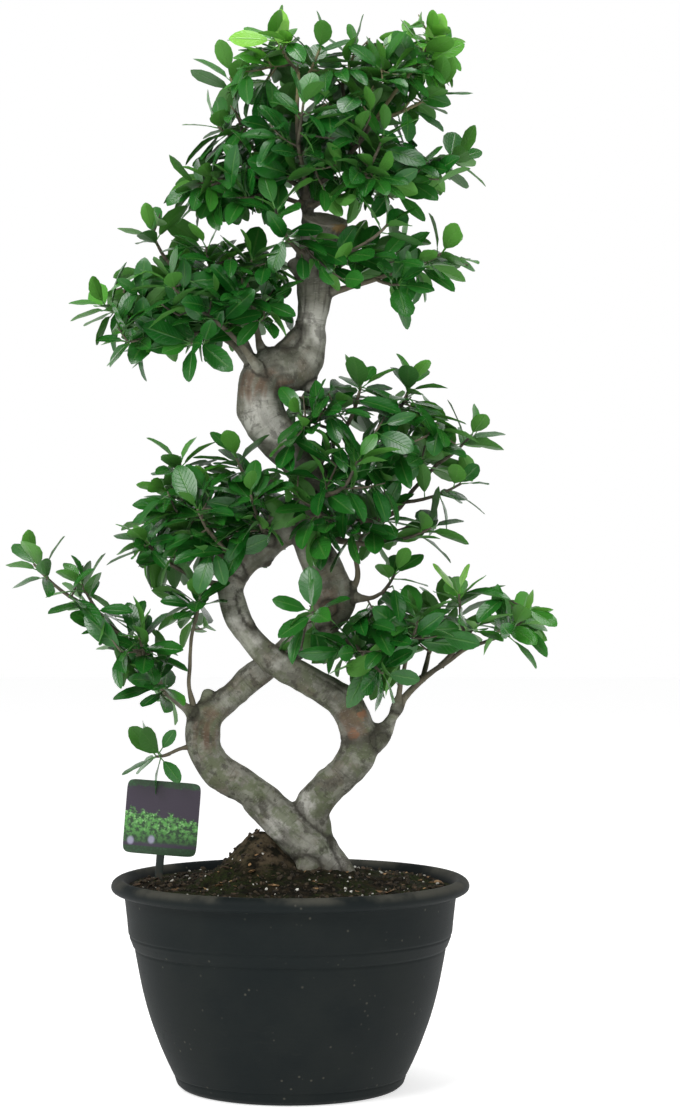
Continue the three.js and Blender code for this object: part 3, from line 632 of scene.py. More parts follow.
@dataclass(frozen=True)
class LabelPrint:
    """A plain plant label: an aubergine ground with soft foliage along its top and across its lower half."""

    ground: Spot = (0.025, 0.016, 0.033)
    shadow: Spot = (0.009, 0.042, 0.01)
    foliage: Spot = (0.085, 0.32, 0.055)
    tips: Spot = (0.38, 0.68, 0.3)
    strip: Spot = (0.014, 0.08, 0.022)
    pale: Spot = (0.42, 0.39, 0.56)
    haze: Spot = (0.15, 0.13, 0.2)
    pots: tuple[tuple[float, float], ...] = ((0.10, 0.17), (0.38, 0.20))

    def make(self) -> Material:
        """Builds the material."""
        shade = Shade("label_print")
        card = shade.node("ShaderNodeUVMap", {"uv_map": "card"})
        across = shade.axis(card, 0)
        up = shade.axis(card, 1)
        mass = shade.noise(card, 9, 4)
        leaves = shade.cells(card, 30).step(0.62, 0.1)
        depth = 0.6 + 0.42 * (mass - 0.5) - 0.1 * across - up
        lit = shade.noise(card, 17, 4, 0.62).step(0.4, 0.6) * (0.25 + 0.75 * up.step(0.14, 0.4))
        tips = leaves * lit * depth.step(0.34, 0.02) * 0.75
        haze = (abs(up - 0.28) * 3.4 + abs(across - 0.45) * 0.6).step(1, 0) * 0.2
        inside = depth.step(0, 0.04) * up.step(0.13, 0.18)
        green = shade.coats(self.shadow, (lit, self.foliage), (tips, self.tips))
        base = shade.coats(self.ground, (haze, self.haze), (inside, green))
        for middle, height in self.pots:
            pot = shade.reach(shade.scaled(card, (1, 0.8, 0)), (middle, 0.8 * height, 0)).step(0.06, 0.025)
            base = shade.blend(pot * 0.7, base, self.pale)
        base = shade.coats(
            base,
            ((up + 0.16 * (mass - 0.5)).step(0.895, 0.935), shade.blend(leaves, self.shadow, self.strip)),
            (up.step(0.115, 0.095), shade.blend(leaves * 0.7, self.shadow, self.strip)),
        )
        scratches = shade.noise(shade.scaled(card, (3, 60, 1)), 1, 2)
        normal = shade.bump(scratches, 0.0001, 0.4)
        return shade.finish(base, 0.26 + 0.12 * scratches, normal, Specular_IOR_Level=0.5)


@dataclass(frozen=True)
class StakePlastic:
    """Dark green plastic of the label's stake, with a little soil on it."""

    green: Spot = (0.006, 0.016, 0.012)
    soiled: Spot = (0.045, 0.034, 0.02)

    def make(self) -> Material:
        """Builds the material."""
        shade = Shade("stake_plastic")
        place = shade.place()
        cloud = shade.noise(place, 160, 3)
        soiled = shade.axis(place, 2).step(0.222, 0.2) * cloud.step(0.38, 0.62)
        base = shade.blend(soiled, self.green, self.soiled)
        return shade.finish(base, 0.42 + 0.35 * soiled, shade.bump(cloud, 0.0003, 0.5))


@dataclass(frozen=True)
class StudioFloor:
    """A plain white floor with the faintest mottle, lit a little from below as a studio table is."""

    pale: Spot = (0.8, 0.8, 0.8)
    mottle: Spot = (0.77, 0.77, 0.78)
    light: Spot = (1.0, 1.0, 1.0)
    glow: float = 0.63

    def make(self) -> Material:
        """Builds the material."""
        shade = Shade("studio_floor")
        base = shade.blend(shade.noise(shade.place(), 3, 2) * 0.2, self.pale, self.mottle)
        lit = {"Emission_Color": self.light, "Emission_Strength": self.glow}
        return shade.finish(base, 0.8, **lit, Specular_IOR_Level=0)


# Shapes


def lattice(cell: Array, seed: int) -> Array:
    """A value between -1 and 1 for each whole-number point, hashed by multiplying and folding bits.

    Args:
        cell: points, shape (..., 3).
        seed: which set of values.

    Returns:
        The values.
    """
    mixed = (cell * [374761393, 668265263, 915488749]).sum(-1) + seed * 97 & 0xFFFFFFFF
    mixed = ((mixed ^ (mixed >> 13)) * 1274126177) & 0xFFFFFFFF
    return ((mixed ^ (mixed >> 16)) & 0xFFFF) / 32767.5 - 1


def noise3(points: Array, size: float, seed: int) -> Array:
    """Smooth noise between -1 and 1: lattice values size apart, blended along each axis by 3t^2 - 2t^3.

    Args:
        points: shape (..., 3).
        size: the lattice's spacing.
        seed: which pattern.

    Returns:
        One value a point.
    """
    spot = np.asarray(points, float) / size
    cell = np.floor(spot).astype(np.int64)
    ease = (spot - cell) ** 2 * (3 - 2 * (spot - cell))
    total = np.zeros(spot.shape[:-1])
    for corner in np.ndindex(2, 2, 2):
        share = np.where(np.array(corner, bool), ease, 1 - ease).prod(-1)
        total += share * lattice(cell + np.array(corner), seed)
    return total


def unit(vectors: Array) -> Array:
    """The vectors at length 1."""
    return vectors / np.maximum(np.linalg.norm(vectors, axis=-1, keepdims=True), 1e-12)


def swell(values: Array, power: float) -> Array:
    """Values with their sign kept and their size raised to a power."""
    return np.sign(values) * np.abs(values) ** power


def circle(sides: int) -> Array:
    """Angles evenly spaced round a circle."""
    return np.linspace(0, 2 * np.pi, sides, endpoint=False)


def parabola(start: Array, corner: Array, end: Array, t: Share) -> Array:
    """(1-t)^2 start + 2t(1-t) corner + t^2 end"""
    return (1 - t) ** 2 * start + 2 * t * (1 - t) * corner + t**2 * end


def put(name: str, points: Array, faces: Faces, finish: Material) -> Piece:
    """Puts a shape into a smooth mesh object at the origin, which rides on the one body.

    Args:
        name: its name.
        points: corners in millimetres, shape (n, 3).
        faces: groups of faces, each shape (m, corners of a face).
        finish: its material.

    Returns:
        The piece.
    """
    mesh = bpy.data.meshes.new(name)
    mesh.from_pydata((points * MM).tolist(), [], [face for group in faces for face in group.tolist()])
    mesh.polygons.foreach_set("use_smooth", np.ones(len(mesh.polygons), bool))
    mesh.materials.append(finish)
    piece = bpy.data.objects.new(name, mesh)
    bpy.context.scene.collection.objects.link(piece)
    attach(piece, "root")
    log.info("%s: %d faces", name, len(mesh.polygons))
    return piece


def store(piece: Piece, domain: str = "POINT", **layers: Array) -> None:
    """Stores numbers or vectors on a mesh.

    Args:
        piece: the mesh object.
        domain: POINT or FACE.
        layers: values by name, shape (n,) for numbers or (n, 3) for vectors.
    """
    for name, values in layers.items():
        kind, key = ("FLOAT", "value") if values.ndim == 1 else ("FLOAT_VECTOR", "vector")
        layer = piece.data.attributes.new(name, kind, domain)
        layer.data.foreach_set(key, np.ascontiguousarray(values, np.float32).ravel())


def map_flat(piece: Piece, name: str, spots: Array) -> None:
    """Gives each corner of each face the flat place of its point.

    Args:
        piece: the mesh object.
        name: the map's name.
        spots: a flat place a point, shape (n, 2).
    """
    corners = np.empty(len(piece.data.loops), np.int32)
    piece.data.loops.foreach_get("vertex_index", corners)
    layer = piece.data.uv_layers.new(name=name)
    layer.data.foreach_set("uv", spots[corners].astype(np.float32).ravel())


def rounded(outline: Sequence[Spot], steps: int = 5) -> Array:
    """An outline with each corner replaced by a parabola.

    Args:
        outline: corners (radius, height, rounding), rounding being how far from the corner it starts.
        steps: points in each rounded corner.

    Returns:
        Points, shape (n, 2).
    """
    corners = np.array(outline, float)
    flat = corners[:, :2]
    points = [flat[:1]]
    for before, (*_, rounding), spot, after in zip(flat[:-2], corners[1:-1], flat[1:-1], flat[2:]):
        if rounding <= 0:
            points.append(spot[None])
            continue
        sides = before - spot, after - spot
        start, end = (spot + side * min(0.48, rounding / np.linalg.norm(side)) for side in sides)
        points.append(parabola(start, spot, end, np.linspace(0, 1, steps)[:, None]))
    return np.vstack([*points, flat[-1:]])


def turned(profile: Array, sides: int) -> Array:
    """Rings (r cos a, r sin a, z) about the Z axis, one for each point (r, z), shape (rings, sides, 3).

    Args:
        profile: the points (r, z).
        sides: points in a ring.

    Returns:
        The rings.
    """
    wide, angle = profile[:, :1], circle(sides)
    height = np.broadcast_to(profile[:, 1:], (len(profile), sides))
    return np.stack([wide * np.cos(angle), wide * np.sin(angle), height], -1)


def lathe(profile: Array, sides: int) -> tuple[Array, list[Array]]:
    """A profile turned round the Z axis, closed by one point at each end on the axis.

    Args:
        profile: points (r, z), outside of the shape on the right of its direction.
        sides: steps of the turn.

    Returns:
        Points and faces.
    """
    rings = turned(profile[1:-1], sides)
    points = np.vstack([rings.reshape(-1, 3), [0, 0, profile[0, 1]], [0, 0, profile[-1, 1]]])
    return points, sheet_faces(len(rings), sides)


def sheet_faces(rings: int, sides: int) -> list[Array]:
    """Faces of rings of points, closed round each ring and by one point before the first and after the last.

    Args:
        rings: how many rings, stored one after another, their two end points last.
        sides: points in a ring, anticlockwise as seen from beyond the last ring.

    Returns:
        The sides, the fan on the first ring and the fan on the last.
    """
    here = np.arange(sides)
    after = (here + 1) % sides
    row = np.arange(rings - 1)[:, None] * sides
    side = np.stack([row + here, row + after, row + sides + after, row + sides + here], -1).reshape(-1, 4)
    first, top = np.full(sides, rings * sides), (rings - 1) * sides
    return [side, np.stack([first, after, here], -1), np.stack([first + 1, top + here, top + after], -1)]


@dataclass
class Run:
    """A limb sampled along its length: places, radii, length so far and a square frame at each sample."""

    place: Array
    radius: Array
    arc: Array
    along: Array
    out: Array
    across: Array


@dataclass(frozen=True)
class Limb:
    """A length of wood: a smooth line through given points, with a radius at each."""

    points: Points

    def at(self, share: Array) -> tuple[Array, Array]:
        """The uniform Catmull-Rom curve through the points, with end tangents towards the neighbours.

        Args:
            share: shares of the way along it.

        Returns:
            Places, shape (n, 3), and radii, which go straight from point to point.
        """
        knots = np.array(self.points, float)
        line = knots[:, :3]
        held = np.vstack([2 * line[0] - line[1], line, 2 * line[-1] - line[-2]])
        spot = np.clip(share, 0, 1) * (len(line) - 1)
        first = np.minimum(spot.astype(int), len(line) - 2)
        t = (spot - first)[:, None]
        a, b, c, d = (held[first + k] for k in range(4))
        leave, arrive = 0.5 * (c - a), 0.5 * (d - b)
        bend, lean = 2 * b - 2 * c + leave + arrive, -3 * b + 3 * c - 2 * leave - arrive
        return bend * t**3 + lean * t**2 + leave * t + b, np.interp(spot, np.arange(len(line)), knots[:, 3])

    def run(self, stretch: float) -> Run:
        """Samples the limb evenly.

        Args:
            stretch: the distance between samples.

        Returns:
            The samples and their frames.
        """
        share = np.linspace(0, 1, 30 * len(self.points))
        length = travelled(self.at(share)[0])
        arc = np.linspace(0, length[-1], max(3, round(length[-1] / stretch)) + 1)
        place, radius = self.at(np.interp(arc, length, share))
        return framed(place, radius, arc)


def travelled(place: Array) -> Array:
    """The length of a line of points up to each of them."""
    return np.concatenate([[0.0], np.cumsum(np.linalg.norm(np.diff(place, axis=0), axis=1))])


def framed(place: Array, radius: Array, arc: Array) -> Run:
    """Gives samples of a line their directions: along it, out towards the axis it strays least along, and
    across.

    Args:
        place: the samples, shape (n, 3).
        radius: the radius at each.
        arc: the length up to each.

    Returns:
        The run.
    """
    along = unit(np.gradient(place, axis=0))
    axis = np.eye(3)[np.argmin(np.abs(along).max(0))]
    out = unit(axis - along * (along @ axis)[:, None])
    return Run(place, radius, arc, along, out, np.cross(along, out))


def tube(run: Run, sides: int) -> tuple[Array, list[Array], Array]:
    """A round bar along a run: place + radius (out cos a + across sin a), closed by a point beyond each end.

    Args:
        run: the line, its radii and frames.
        sides: points round it.

    Returns:
        Points, faces, and each point's place on the bar unrolled straight with the bar's radius.
    """
    level, aside = (run.radius[:, None] * wave(circle(sides)) for wave in (np.cos, np.sin))
    ring = run.place[:, None] + level[..., None] * run.out[:, None] + aside[..., None] * run.across[:, None]
    beyond = np.array([[-0.35], [0.6]])
    ends = run.place[[0, -1]] + beyond * run.radius[[0, -1], None] * run.along[[0, -1]]
    rows = (np.broadcast_to(row[:, None], level.shape) for row in (run.arc, run.radius))
    marks = np.stack([level, aside, *rows], -1).reshape(-1, 4)
    tips = [[0, 0, run.arc[k], run.radius[k]] for k in (0, -1)]
    return np.vstack([ring.reshape(-1, 3), ends]), sheet_faces(len(run.arc), sides), np.vstack([marks, tips])


class Heap:
    """Many small shapes gathered into one."""

    def __init__(self) -> None:
        """Starts empty."""
        self.points: list[Array] = []
        self.faces: list[Array] = []
        self.marks: list[Array] = []
        self.count = 0

    def add(self, points: Array, faces: Faces, marks: Array) -> None:
        """Adds a shape.

        Args:
            points: its points.
            faces: its faces, by its own numbers.
            marks: what is stored with each point, shape (n, k).
        """
        self.points.append(points)
        self.faces += [group + self.count for group in faces]
        self.marks.append(marks)
        self.count += len(points)

    def put(self, name: str, slot: Slot, finish: Material) -> tuple[Piece, Array]:
        """Makes one piece of all the shapes, and gives it and what is stored with its points."""
        return put(name, np.vstack(self.points), self.faces, finish), np.vstack(self.marks)


# Pot, soil and label


@dataclass
class Pot:
    """The round bowl pot: foot band, swelling wall, raised band under a rolled rim, and four drain holes."""

    sides: int = 176
    hole_radius: float = 7.0
    hole_circle: float = 58.0
    holes: int = 4
    hole_sides: int = 28
    outline: tuple[Spot, ...] = (
        (0, 2.4, 0), (40, 2.4, 0), (72, 2.4, 0), (93, 2.4, 1.2), (95, 0, 1), (109, 0, 1.6), (113.4, 3.6, 1.5),
        (115.7, 10.4, 0.8), (115.4, 11.8, 0.6), (116.9, 13.2, 0.8), (122.7, 25, 0), (129.8, 41, 5),
        (138.8, 65, 7), (143.6, 81, 0), (147.7, 97, 6), (150.9, 113, 0), (153.9, 129, 2),
        (155.2, 136, 1.2), (154.7, 137.8, 0.8),
        (157, 139.8, 1.2), (159.3, 146, 1.5), (160.7, 149.4, 1), (160.2, 151.2, 0.8), (161.7, 153, 1),
        (163.2, 169, 4), (164.8, 183, 2), (166.0, 191.8, 1.4), (173.6, 192.8, 2.4), (178.2, 195.6, 2.6),
        (179.1, 199.8, 2.6), (177.4, 204, 2.6), (172.4, 207.4, 3), (167.2, 206.8, 2.6), (163.4, 201, 3),
        (160.8, 192, 4), (159.0, 184, 4), (152.0, 138, 0), (142.5, 86, 12), (128.5, 44, 12), (111, 9.4, 6),
        (96, 8, 2), (60, 8, 0), (0, 8, 0),
    )

    def build(self) -> Piece:
        """Turns the outline round the axis and drills the drain holes."""
        points, faces = lathe(rounded(self.outline), self.sides)
        piece = put("pot_shell", points, faces, PotPlastic().make())
        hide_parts("pot")
        self.drill(piece)
        piece.data.set_sharp_from_angle(angle=math.radians(50))
        return piece

    def drill(self, piece: Piece) -> None:
        """Cuts the holes, round bars (x0 + r cos a, y0 + r sin a, z), out of the shell.

        Args:
            piece: the shell.
        """
        bars = Heap()
        ends = np.array([(0, -12), (self.hole_radius, -12), (self.hole_radius, 20), (0, 20)], float)
        for k in range(self.holes):
            turn = 2 * math.pi * k / self.holes
            bar, faces = lathe(ends, self.hole_sides)
            centre = [self.hole_circle * math.cos(turn), self.hole_circle * math.sin(turn), 0.0]
            bars.add(bar + centre, faces, np.zeros((len(bar), 1)))
        cutter, _ = bars.put("drill", Slot.POT, piece.data.materials[0])
        tool = piece.modifiers.new("holes", "BOOLEAN")
        tool.operation, tool.solver, tool.object = "DIFFERENCE", "EXACT", cutter
        cut = bpy.data.meshes.new_from_object(piece.evaluated_get(bpy.context.evaluated_depsgraph_get()))
        piece.modifiers.clear()
        piece.data = cut
        bpy.data.objects.remove(cutter)


@dataclass
class Soil:
    """The soil: flat at the pot's wall, domed round the trunk, heaped on its left, and crumbly all over."""

    edge: float = 196.0
    lean: float = 2.0 / 179.0
    radius: float = 162.2
    sides: int = 250
    rings: int = 112
    floor: float = 8.3
    wall: tuple[tuple[float, float], ...] = (
        (158.6, 184.0), (149.6, 130.0), (141.8, 86.0), (127.8, 44.0), (109.8, 9.6), (60.0, 8.3),
    )
    dome: Spot = (15.0, 70.0, 22.0)
    heap: tuple[float, float, float, float, float] = (-34.0, -6.0, 23.0, 30.0, 37.0)

    def level(self, x: Array, y: Array) -> Array:
        """Height: edge - lean x + dome exp(-d^2/2 reach^2) + heap exp(-(x^2/2 a^2 + y^2/2 b^2)).

        Args:
            x: places across.
            y: places from front to back.

        Returns:
            Heights.
        """
        centre, reach, rise = self.dome
        left, front, wide, deep, high = self.heap
        dome = np.exp(-0.5 * (((x - centre) / reach) ** 2 + (y / reach) ** 2))
        heap = np.exp(-0.5 * (((x - left) / wide) ** 2 + ((y - front) / deep) ** 2))
        return self.edge - self.lean * x + rise * dome + high * heap

    def crumble(self, x: Array, y: Array) -> Array:
        """Relief of the surface: three sizes of noise, lower at the pot's wall.

        Args:
            x: places across.
            y: places from front to back.

        Returns:
            Heights above the level.
        """
        flat = np.stack([x, y, np.zeros_like(x)], -1)
        relief = 2.6 * noise3(flat, 26, 1) + 2 * np.abs(noise3(flat, 9, 2)) + 1.1 * noise3(flat, 4.2, 3)
        return relief * np.clip((self.radius + 4 - np.hypot(x, y)) / 14, 0.25, 1)

    def build(self) -> Piece:
        """Rings of points from the pot's floor up its wall and in to the middle of the surface."""
        reach = self.radius * np.linspace(0, 1, self.rings + 1)[1:]
        top = turned(np.column_stack([reach, reach]), self.sides)
        x, y = top[..., 0], top[..., 1]
        top[..., 2] = self.level(x, y) + self.crumble(x, y)
        rings = np.concatenate([top, turned(np.array(self.wall), self.sides)])[::-1]
        middle = self.level(np.zeros(1), np.zeros(1))[0]
        points = np.vstack([rings.reshape(-1, 3), [0, 0, self.floor], [0, 0, middle]])
        piece = put("soil_bed", points, sheet_faces(len(rings), self.sides), Earth().make())
        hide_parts("soil")
        return piece


@dataclass(frozen=True)
class Grains:
    """Loose bits on the soil: lumpy twelve-cornered grains, stretched, flattened and scattered at random."""

    name: str
    count: int
    smallest: float
    largest: float
    shape: Spot
    sunk: float
    seed: int
    grit: Grit
    tilt: float = 0.5
    centre: Spot = (0.0, 0.0, 156.0)
    wall: float = 158.0
    clear: float = 2.5

    def template(self) -> tuple[Array, Array]:
        """Corners (0, +-1, +-g) and their turns, g the golden ratio, at length 1, and the twenty faces."""
        g = (1 + 5**0.5) / 2
        corners = [(a, b * g, 0) for a in (-1, 1) for b in (-1, 1)]
        points = unit(np.array([np.roll(corner, -k) for k in range(3) for corner in corners]))
        gaps = np.linalg.norm(points[:, None] - points[None], axis=2)
        near = (gaps > 0.1) & (gaps < 1.2)
        triples = np.array([(a, b, c) for a in range(12) for b in range(a) for c in range(b)])
        a, b, c = triples.T
        faces = triples[near[a, b] & near[b, c] & near[a, c]]
        a, b, c = (points[faces[:, k]] for k in range(3))
        outward = (np.cross(b - a, c - a) * a).sum(1) > 0
        return points, np.where(outward[:, None], faces, faces[:, ::-1])

    def scatter(self, soil: Soil, wood: "Wood") -> Piece:
        """Drops the grains on the soil, clear of the wood.

        Args:
            soil: the surface they lie on.
            wood: what they keep clear of.

        Returns:
            One piece with all of them.
        """
        chance = np.random.default_rng(self.seed)
        tries = 2 * self.count
        far = self.centre[2] * np.sqrt(chance.random(tries))
        turn = 2 * np.pi * chance.random(tries)
        x, y = self.centre[0] + far * np.cos(turn), self.centre[1] + far * np.sin(turn)
        place = np.stack([x, y, soil.level(x, y) + soil.crumble(x, y)], -1)
        place = place[(wood.read(place) > self.clear) & (np.hypot(x, y) < self.wall)][: self.count]
        number = len(place)
        size = self.smallest + (self.largest - self.smallest) * chance.random(number) ** 2
        points, faces = self.template()
        lumps = points * (1 + 0.28 * chance.standard_normal((number, 12, 1)).clip(-1.4, 1.4))
        lumps = lumps * np.array(self.shape) * size[:, None, None] * 0.5
        swing = np.array([[2 * np.pi], [2 * self.tilt], [2 * self.tilt]])
        spin, lean, lie = (chance.random((3, number)) - 0.5) * swing
        lumps = turned_about(turned_about(turned_about(lumps, 0, lean), 1, lie), 2, spin)
        place[:, 2] += size * self.shape[2] * (0.5 - self.sunk)
        corners = (lumps + place[:, None]).reshape(-1, 3)
        every = (faces[None] + 12 * np.arange(number)[:, None, None]).reshape(-1, 3)
        piece = put(self.name, corners, [every], self.grit.make())
        piece.data.set_sharp_from_angle(angle=math.radians(35))
        return piece


def turned_about(shapes: Array, axis: int, angle: Array) -> Array:
    """Turns each shape about an axis by its own angle: (a cos t - b sin t, a sin t + b cos t).

    Args:
        shapes: shape (n, corners, 3).
        axis: the axis that stays.
        angle: one a shape.

    Returns:
        The turned shapes.
    """
    first, second = (axis + 1) % 3, (axis + 2) % 3
    cos, sin = np.cos(angle)[:, None], np.sin(angle)[:, None]
    made = shapes.copy()
    made[..., first] = shapes[..., first] * cos - shapes[..., second] * sin
    made[..., second] = shapes[..., first] * sin + shapes[..., second] * cos
    return made


@dataclass
class PlantLabel:
    """The square plant label on its stake, leaning a little and slightly bowed."""

    size: float = 74.0
    rings: int = 12
    corner: float = 6.0
    thickness: float = 0.8
    lean: float = math.radians(-4.6)
    centre: Spot = (-129.0, 5.0, 265.5)
    bow: float = 1.1
    stake_width: float = 8.0
    stake_offset: float = 1.5
    stake_length: float = 98.0
    stake_point: float = 12.0

    def stand(self, flat: Array) -> Array:
        """Turns points (across, up, towards the back) of the card into the row frame.

        Args:
            flat: the points, shape (n, 3).

        Returns:
            The same points in the row frame.
        """
        cos, sin = math.cos(self.lean), math.sin(self.lean)
        x = flat[:, 0] * cos - flat[:, 1] * sin
        z = flat[:, 0] * sin + flat[:, 1] * cos
        return np.stack([x, flat[:, 2], z], -1) + np.array(self.centre)

    def card(self) -> Piece:
        """Rings from the middle to the edge, (size / 2) (cos a, sin a) with each raised to corner / 36 and
        its sign kept, and back behind, bowed by bow (2x / size)^2.
        """
        angle, half = circle(96), self.thickness / 2
        flat = np.stack([np.cos(angle), np.sin(angle)], -1)
        rim = swell(flat, self.corner / 36) * self.size / 2
        sheet = np.linspace(0, 1, self.rings + 1)[1:, None, None] * rim
        thin = np.full(self.rings, half)
        thin[-1] = half - 0.12
        levels = np.concatenate([thin, -thin[::-1]])
        rings = np.concatenate([sheet, sheet[::-1]])
        back = levels[:, None] + (self.bow * (rings[..., 0] / (self.size / 2)) ** 2 - 0.5 * self.bow)
        poles = [[0, 0, half - 0.5 * self.bow], [0, 0, -half - 0.5 * self.bow]]
        points = np.vstack([np.concatenate([rings, back[..., None]], -1).reshape(-1, 3), poles])
        faces = sheet_faces(len(levels), len(rim))
        piece = put("label_card", self.stand(points), faces, LabelPrint().make())
        behind = np.concatenate([np.repeat(levels > 0, len(rim)), [True, False]])
        map_flat(piece, "card", np.where(behind[:, None], [0.5, 0.78], points[:, :2] / self.size + 0.5))
        piece.data.set_sharp_from_angle(angle=math.radians(40))
        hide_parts("plant_label")
        return piece

    def stake(self) -> Piece:
        """A flat bar with a rib: rings of an oval section carried down from the card and drawn to a point."""
        top, bottom = -self.size / 2 + 14, -self.size / 2 - self.stake_length
        neck = bottom + self.stake_point
        height = np.concatenate([np.linspace(top, neck, 22), np.linspace(neck, bottom + 1, 6)[1:]])
        taper = np.clip((height - bottom) / self.stake_point, 0, 1)
        cos, sin = np.cos(circle(24)), np.sin(circle(24))
        wide = swell(cos, 0.6) * self.stake_width / 2
        deep = swell(sin, 0.7) * 0.9 + 0.7 * np.exp(-((wide / 1.1) ** 2)) * (sin > 0)
        x = self.stake_offset + wide[None] * taper[:, None]
        y = 1.45 + deep[None] * (0.4 + 0.6 * taper[:, None])
        rings = np.stack([x, np.broadcast_to(height[:, None], x.shape), y], -1)
        poles = [[self.stake_offset, top + 0.3, 1.5], [self.stake_offset, bottom, 1.5]]
        points = self.stand(np.vstack([rings.reshape(-1, 3), poles]))
        piece = put("label_stake", points, sheet_faces(*x.shape), StakePlastic().make())
        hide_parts("plant_label")
        return piece

    def build(self) -> None:
        """Makes the card and its stake."""
        self.card()
        self.stake()


# Wood


class Grid:
    """A box of space laid out in cubes."""

    def __init__(self, low: Spot, high: Spot, step: float) -> None:
        """Lays cubes of that step from the lowest corner to the highest."""
        self.low, self.step = np.array(low, float), step
        self.shape = np.ceil((np.array(high) - self.low) / step).astype(int) + 1


class Wood(Grid):
    """How far points of a grid are from the wood's surface, in millimetres, negative inside it."""

    far = 14.0

    def __init__(self, low: Spot, high: Spot, step: float) -> None:
        """Starts with no wood."""
        super().__init__(low, high, step)
        self.values = np.full(self.shape, self.far, np.float32)
        self.creases = np.zeros(self.shape, np.float32)

    def axes(self, first: Array, last: Array) -> tuple[Array, Array, Array]:
        """The grid's X, Y and Z between two corners, ready to be combined."""
        x, y, z = (self.low[k] + self.step * np.arange(first[k], last[k]) for k in range(3))
        return x[:, None, None], y[None, :, None], z[None, None, :]

    def window(self, low: Array, high: Array) -> tuple[Array, Array]:
        """The grid's corners round a box.

        Args:
            low: the box's low corner.
            high: its high corner.

        Returns:
            The first corner and the one past the last.
        """
        first = np.floor((low - self.low) / self.step).astype(int)
        last = np.ceil((high - self.low) / self.step).astype(int) + 1
        return np.clip(first, 0, self.shape), np.clip(last, 0, self.shape)

    def add(self, run: Run, soft: float) -> None:
        """Joins a limb: d = min(a, b) - h^2 soft / 4 with h = max(0, 1 - |a - b| / soft).

        Args:
            run: the limb, taken as a chain of cones |p - q(t)| - r(t).
            soft: how widely the crease to what is there is filled.
        """
        pad = run.radius.max() + soft + 3
        first, last = self.window(run.place.min(0) - pad, run.place.max(0) + pad)
        block = np.full(last - first, self.far, np.float32)
        for start, end, thick, thin in zip(run.place[:-1], run.place[1:], run.radius[:-1], run.radius[1:]):
            reach = max(thick, thin) + soft + 2
            lo, hi = self.window(np.minimum(start, end) - reach, np.maximum(start, end) + reach)
            if (hi <= lo).any():
                continue
            way = end - start
            x, y, z = (axis - begin for axis, begin in zip(self.axes(lo, hi), start))
            share = np.clip((x * way[0] + y * way[1] + z * way[2]) / (way @ way), 0, 1)
            sides = (axis - share * part for axis, part in zip((x, y, z), way))
            aside = np.sqrt(sum(side**2 for side in sides))
            part = tuple(slice(a, b) for a, b in zip(lo - first, hi - first))
            block[part] = np.minimum(block[part], aside - (thick + share * (thin - thick)))
        here = tuple(slice(a, b) for a, b in zip(first, last))
        there = self.values[here]
        near = np.maximum(soft - np.abs(there - block), 0) / soft
        # the crease depth kept here later becomes painted shade on the bark
        self.creases[here] = np.maximum(self.creases[here], near * (np.minimum(there, block) < 4))
        self.values[here] = np.minimum(there, block) - near * near * soft * 0.25

    def trim(self, centre: Spot, normal: Spot, above: float) -> None:
        """Cuts away what lies beyond a plane: d = max(d, n . (p - c)).

        Args:
            centre: a point of the plane.
            normal: the plane's direction.
            above: the height that the cut starts at.
        """
        first, last = self.window(np.array([*self.low[:2], above]), self.low + self.step * self.shape)
        x, y, z = self.axes(first, last)
        way = unit(np.array(normal, float))
        plane = way[0] * (x - centre[0]) + way[1] * (y - centre[1]) + way[2] * (z - centre[2])
        here = tuple(slice(a, b) for a, b in zip(first, last))
        self.values[here] = np.maximum(self.values[here], plane)

    def at(self, points: Array) -> tuple[Array, ...]:
        """The grid's nearest point to each point, as an index."""
        spot = np.rint((points - self.low) / self.step).astype(int)
        return tuple(np.clip(spot, 0, self.shape - 1).T)

    def read(self, points: Array) -> Array:
        """The distance from the wood near each point."""
        return self.values[self.at(points)]

    def surface(self) -> tuple[Array, Array]:
        """The surface net of the zero level: a point in each cell that the level crosses, at the mean of the
        crossings of its edges a / (a - b), and a face across each edge of the grid that it crosses.

        Returns:
            Points, shape (n, 3), and four-cornered faces.
        """
        values, axes = self.values, np.eye(3, dtype=int)
        inside = values < 0
        low, high, middle = slice(None, -1), slice(1, None), slice(1, -1)
        corners = list(np.ndindex(2, 2, 2))
        filled = sum(inside[tuple(high if c else low for c in corner)].astype(np.int8) for corner in corners)
        mixed = (filled > 0) & (filled < 8)
        cells = np.argwhere(mixed)
        number = np.full(mixed.shape, -1, np.int64)
        number[mixed] = np.arange(len(cells))
        total, count = np.zeros((len(cells), 3)), np.zeros(len(cells))
        for corner in corners:
            for axis in np.flatnonzero(np.array(corner) == 0):
                a = values[tuple((cells + corner).T)]
                b = values[tuple((cells + corner + axes[axis]).T)]
                crossed = (a < 0) != (b < 0)
                share = np.where(crossed, a / np.where(crossed, a - b, 1), 0)
                total += crossed[:, None] * (np.array(corner) + share[:, None] * axes[axis])
                count += crossed
        points = self.low + self.step * (cells + total / count[:, None])
        faces = []
        for axis in range(3):
            one, two = axes[(axis + 1) % 3], axes[(axis + 2) % 3]
            lower, upper = (tuple(end if k == axis else middle for k in range(3)) for end in (low, high))
            edges = np.argwhere(inside[lower] != inside[upper]) + 1 - axes[axis]
            quads = [number[tuple((edges - shift).T)] for shift in (one + two, two, 0 * one, one)]
            quads = np.stack(quads, -1)
            faces.append(np.where(inside[tuple(edges.T)][:, None], quads, quads[:, ::-1]))
        return points, np.vstack(faces)


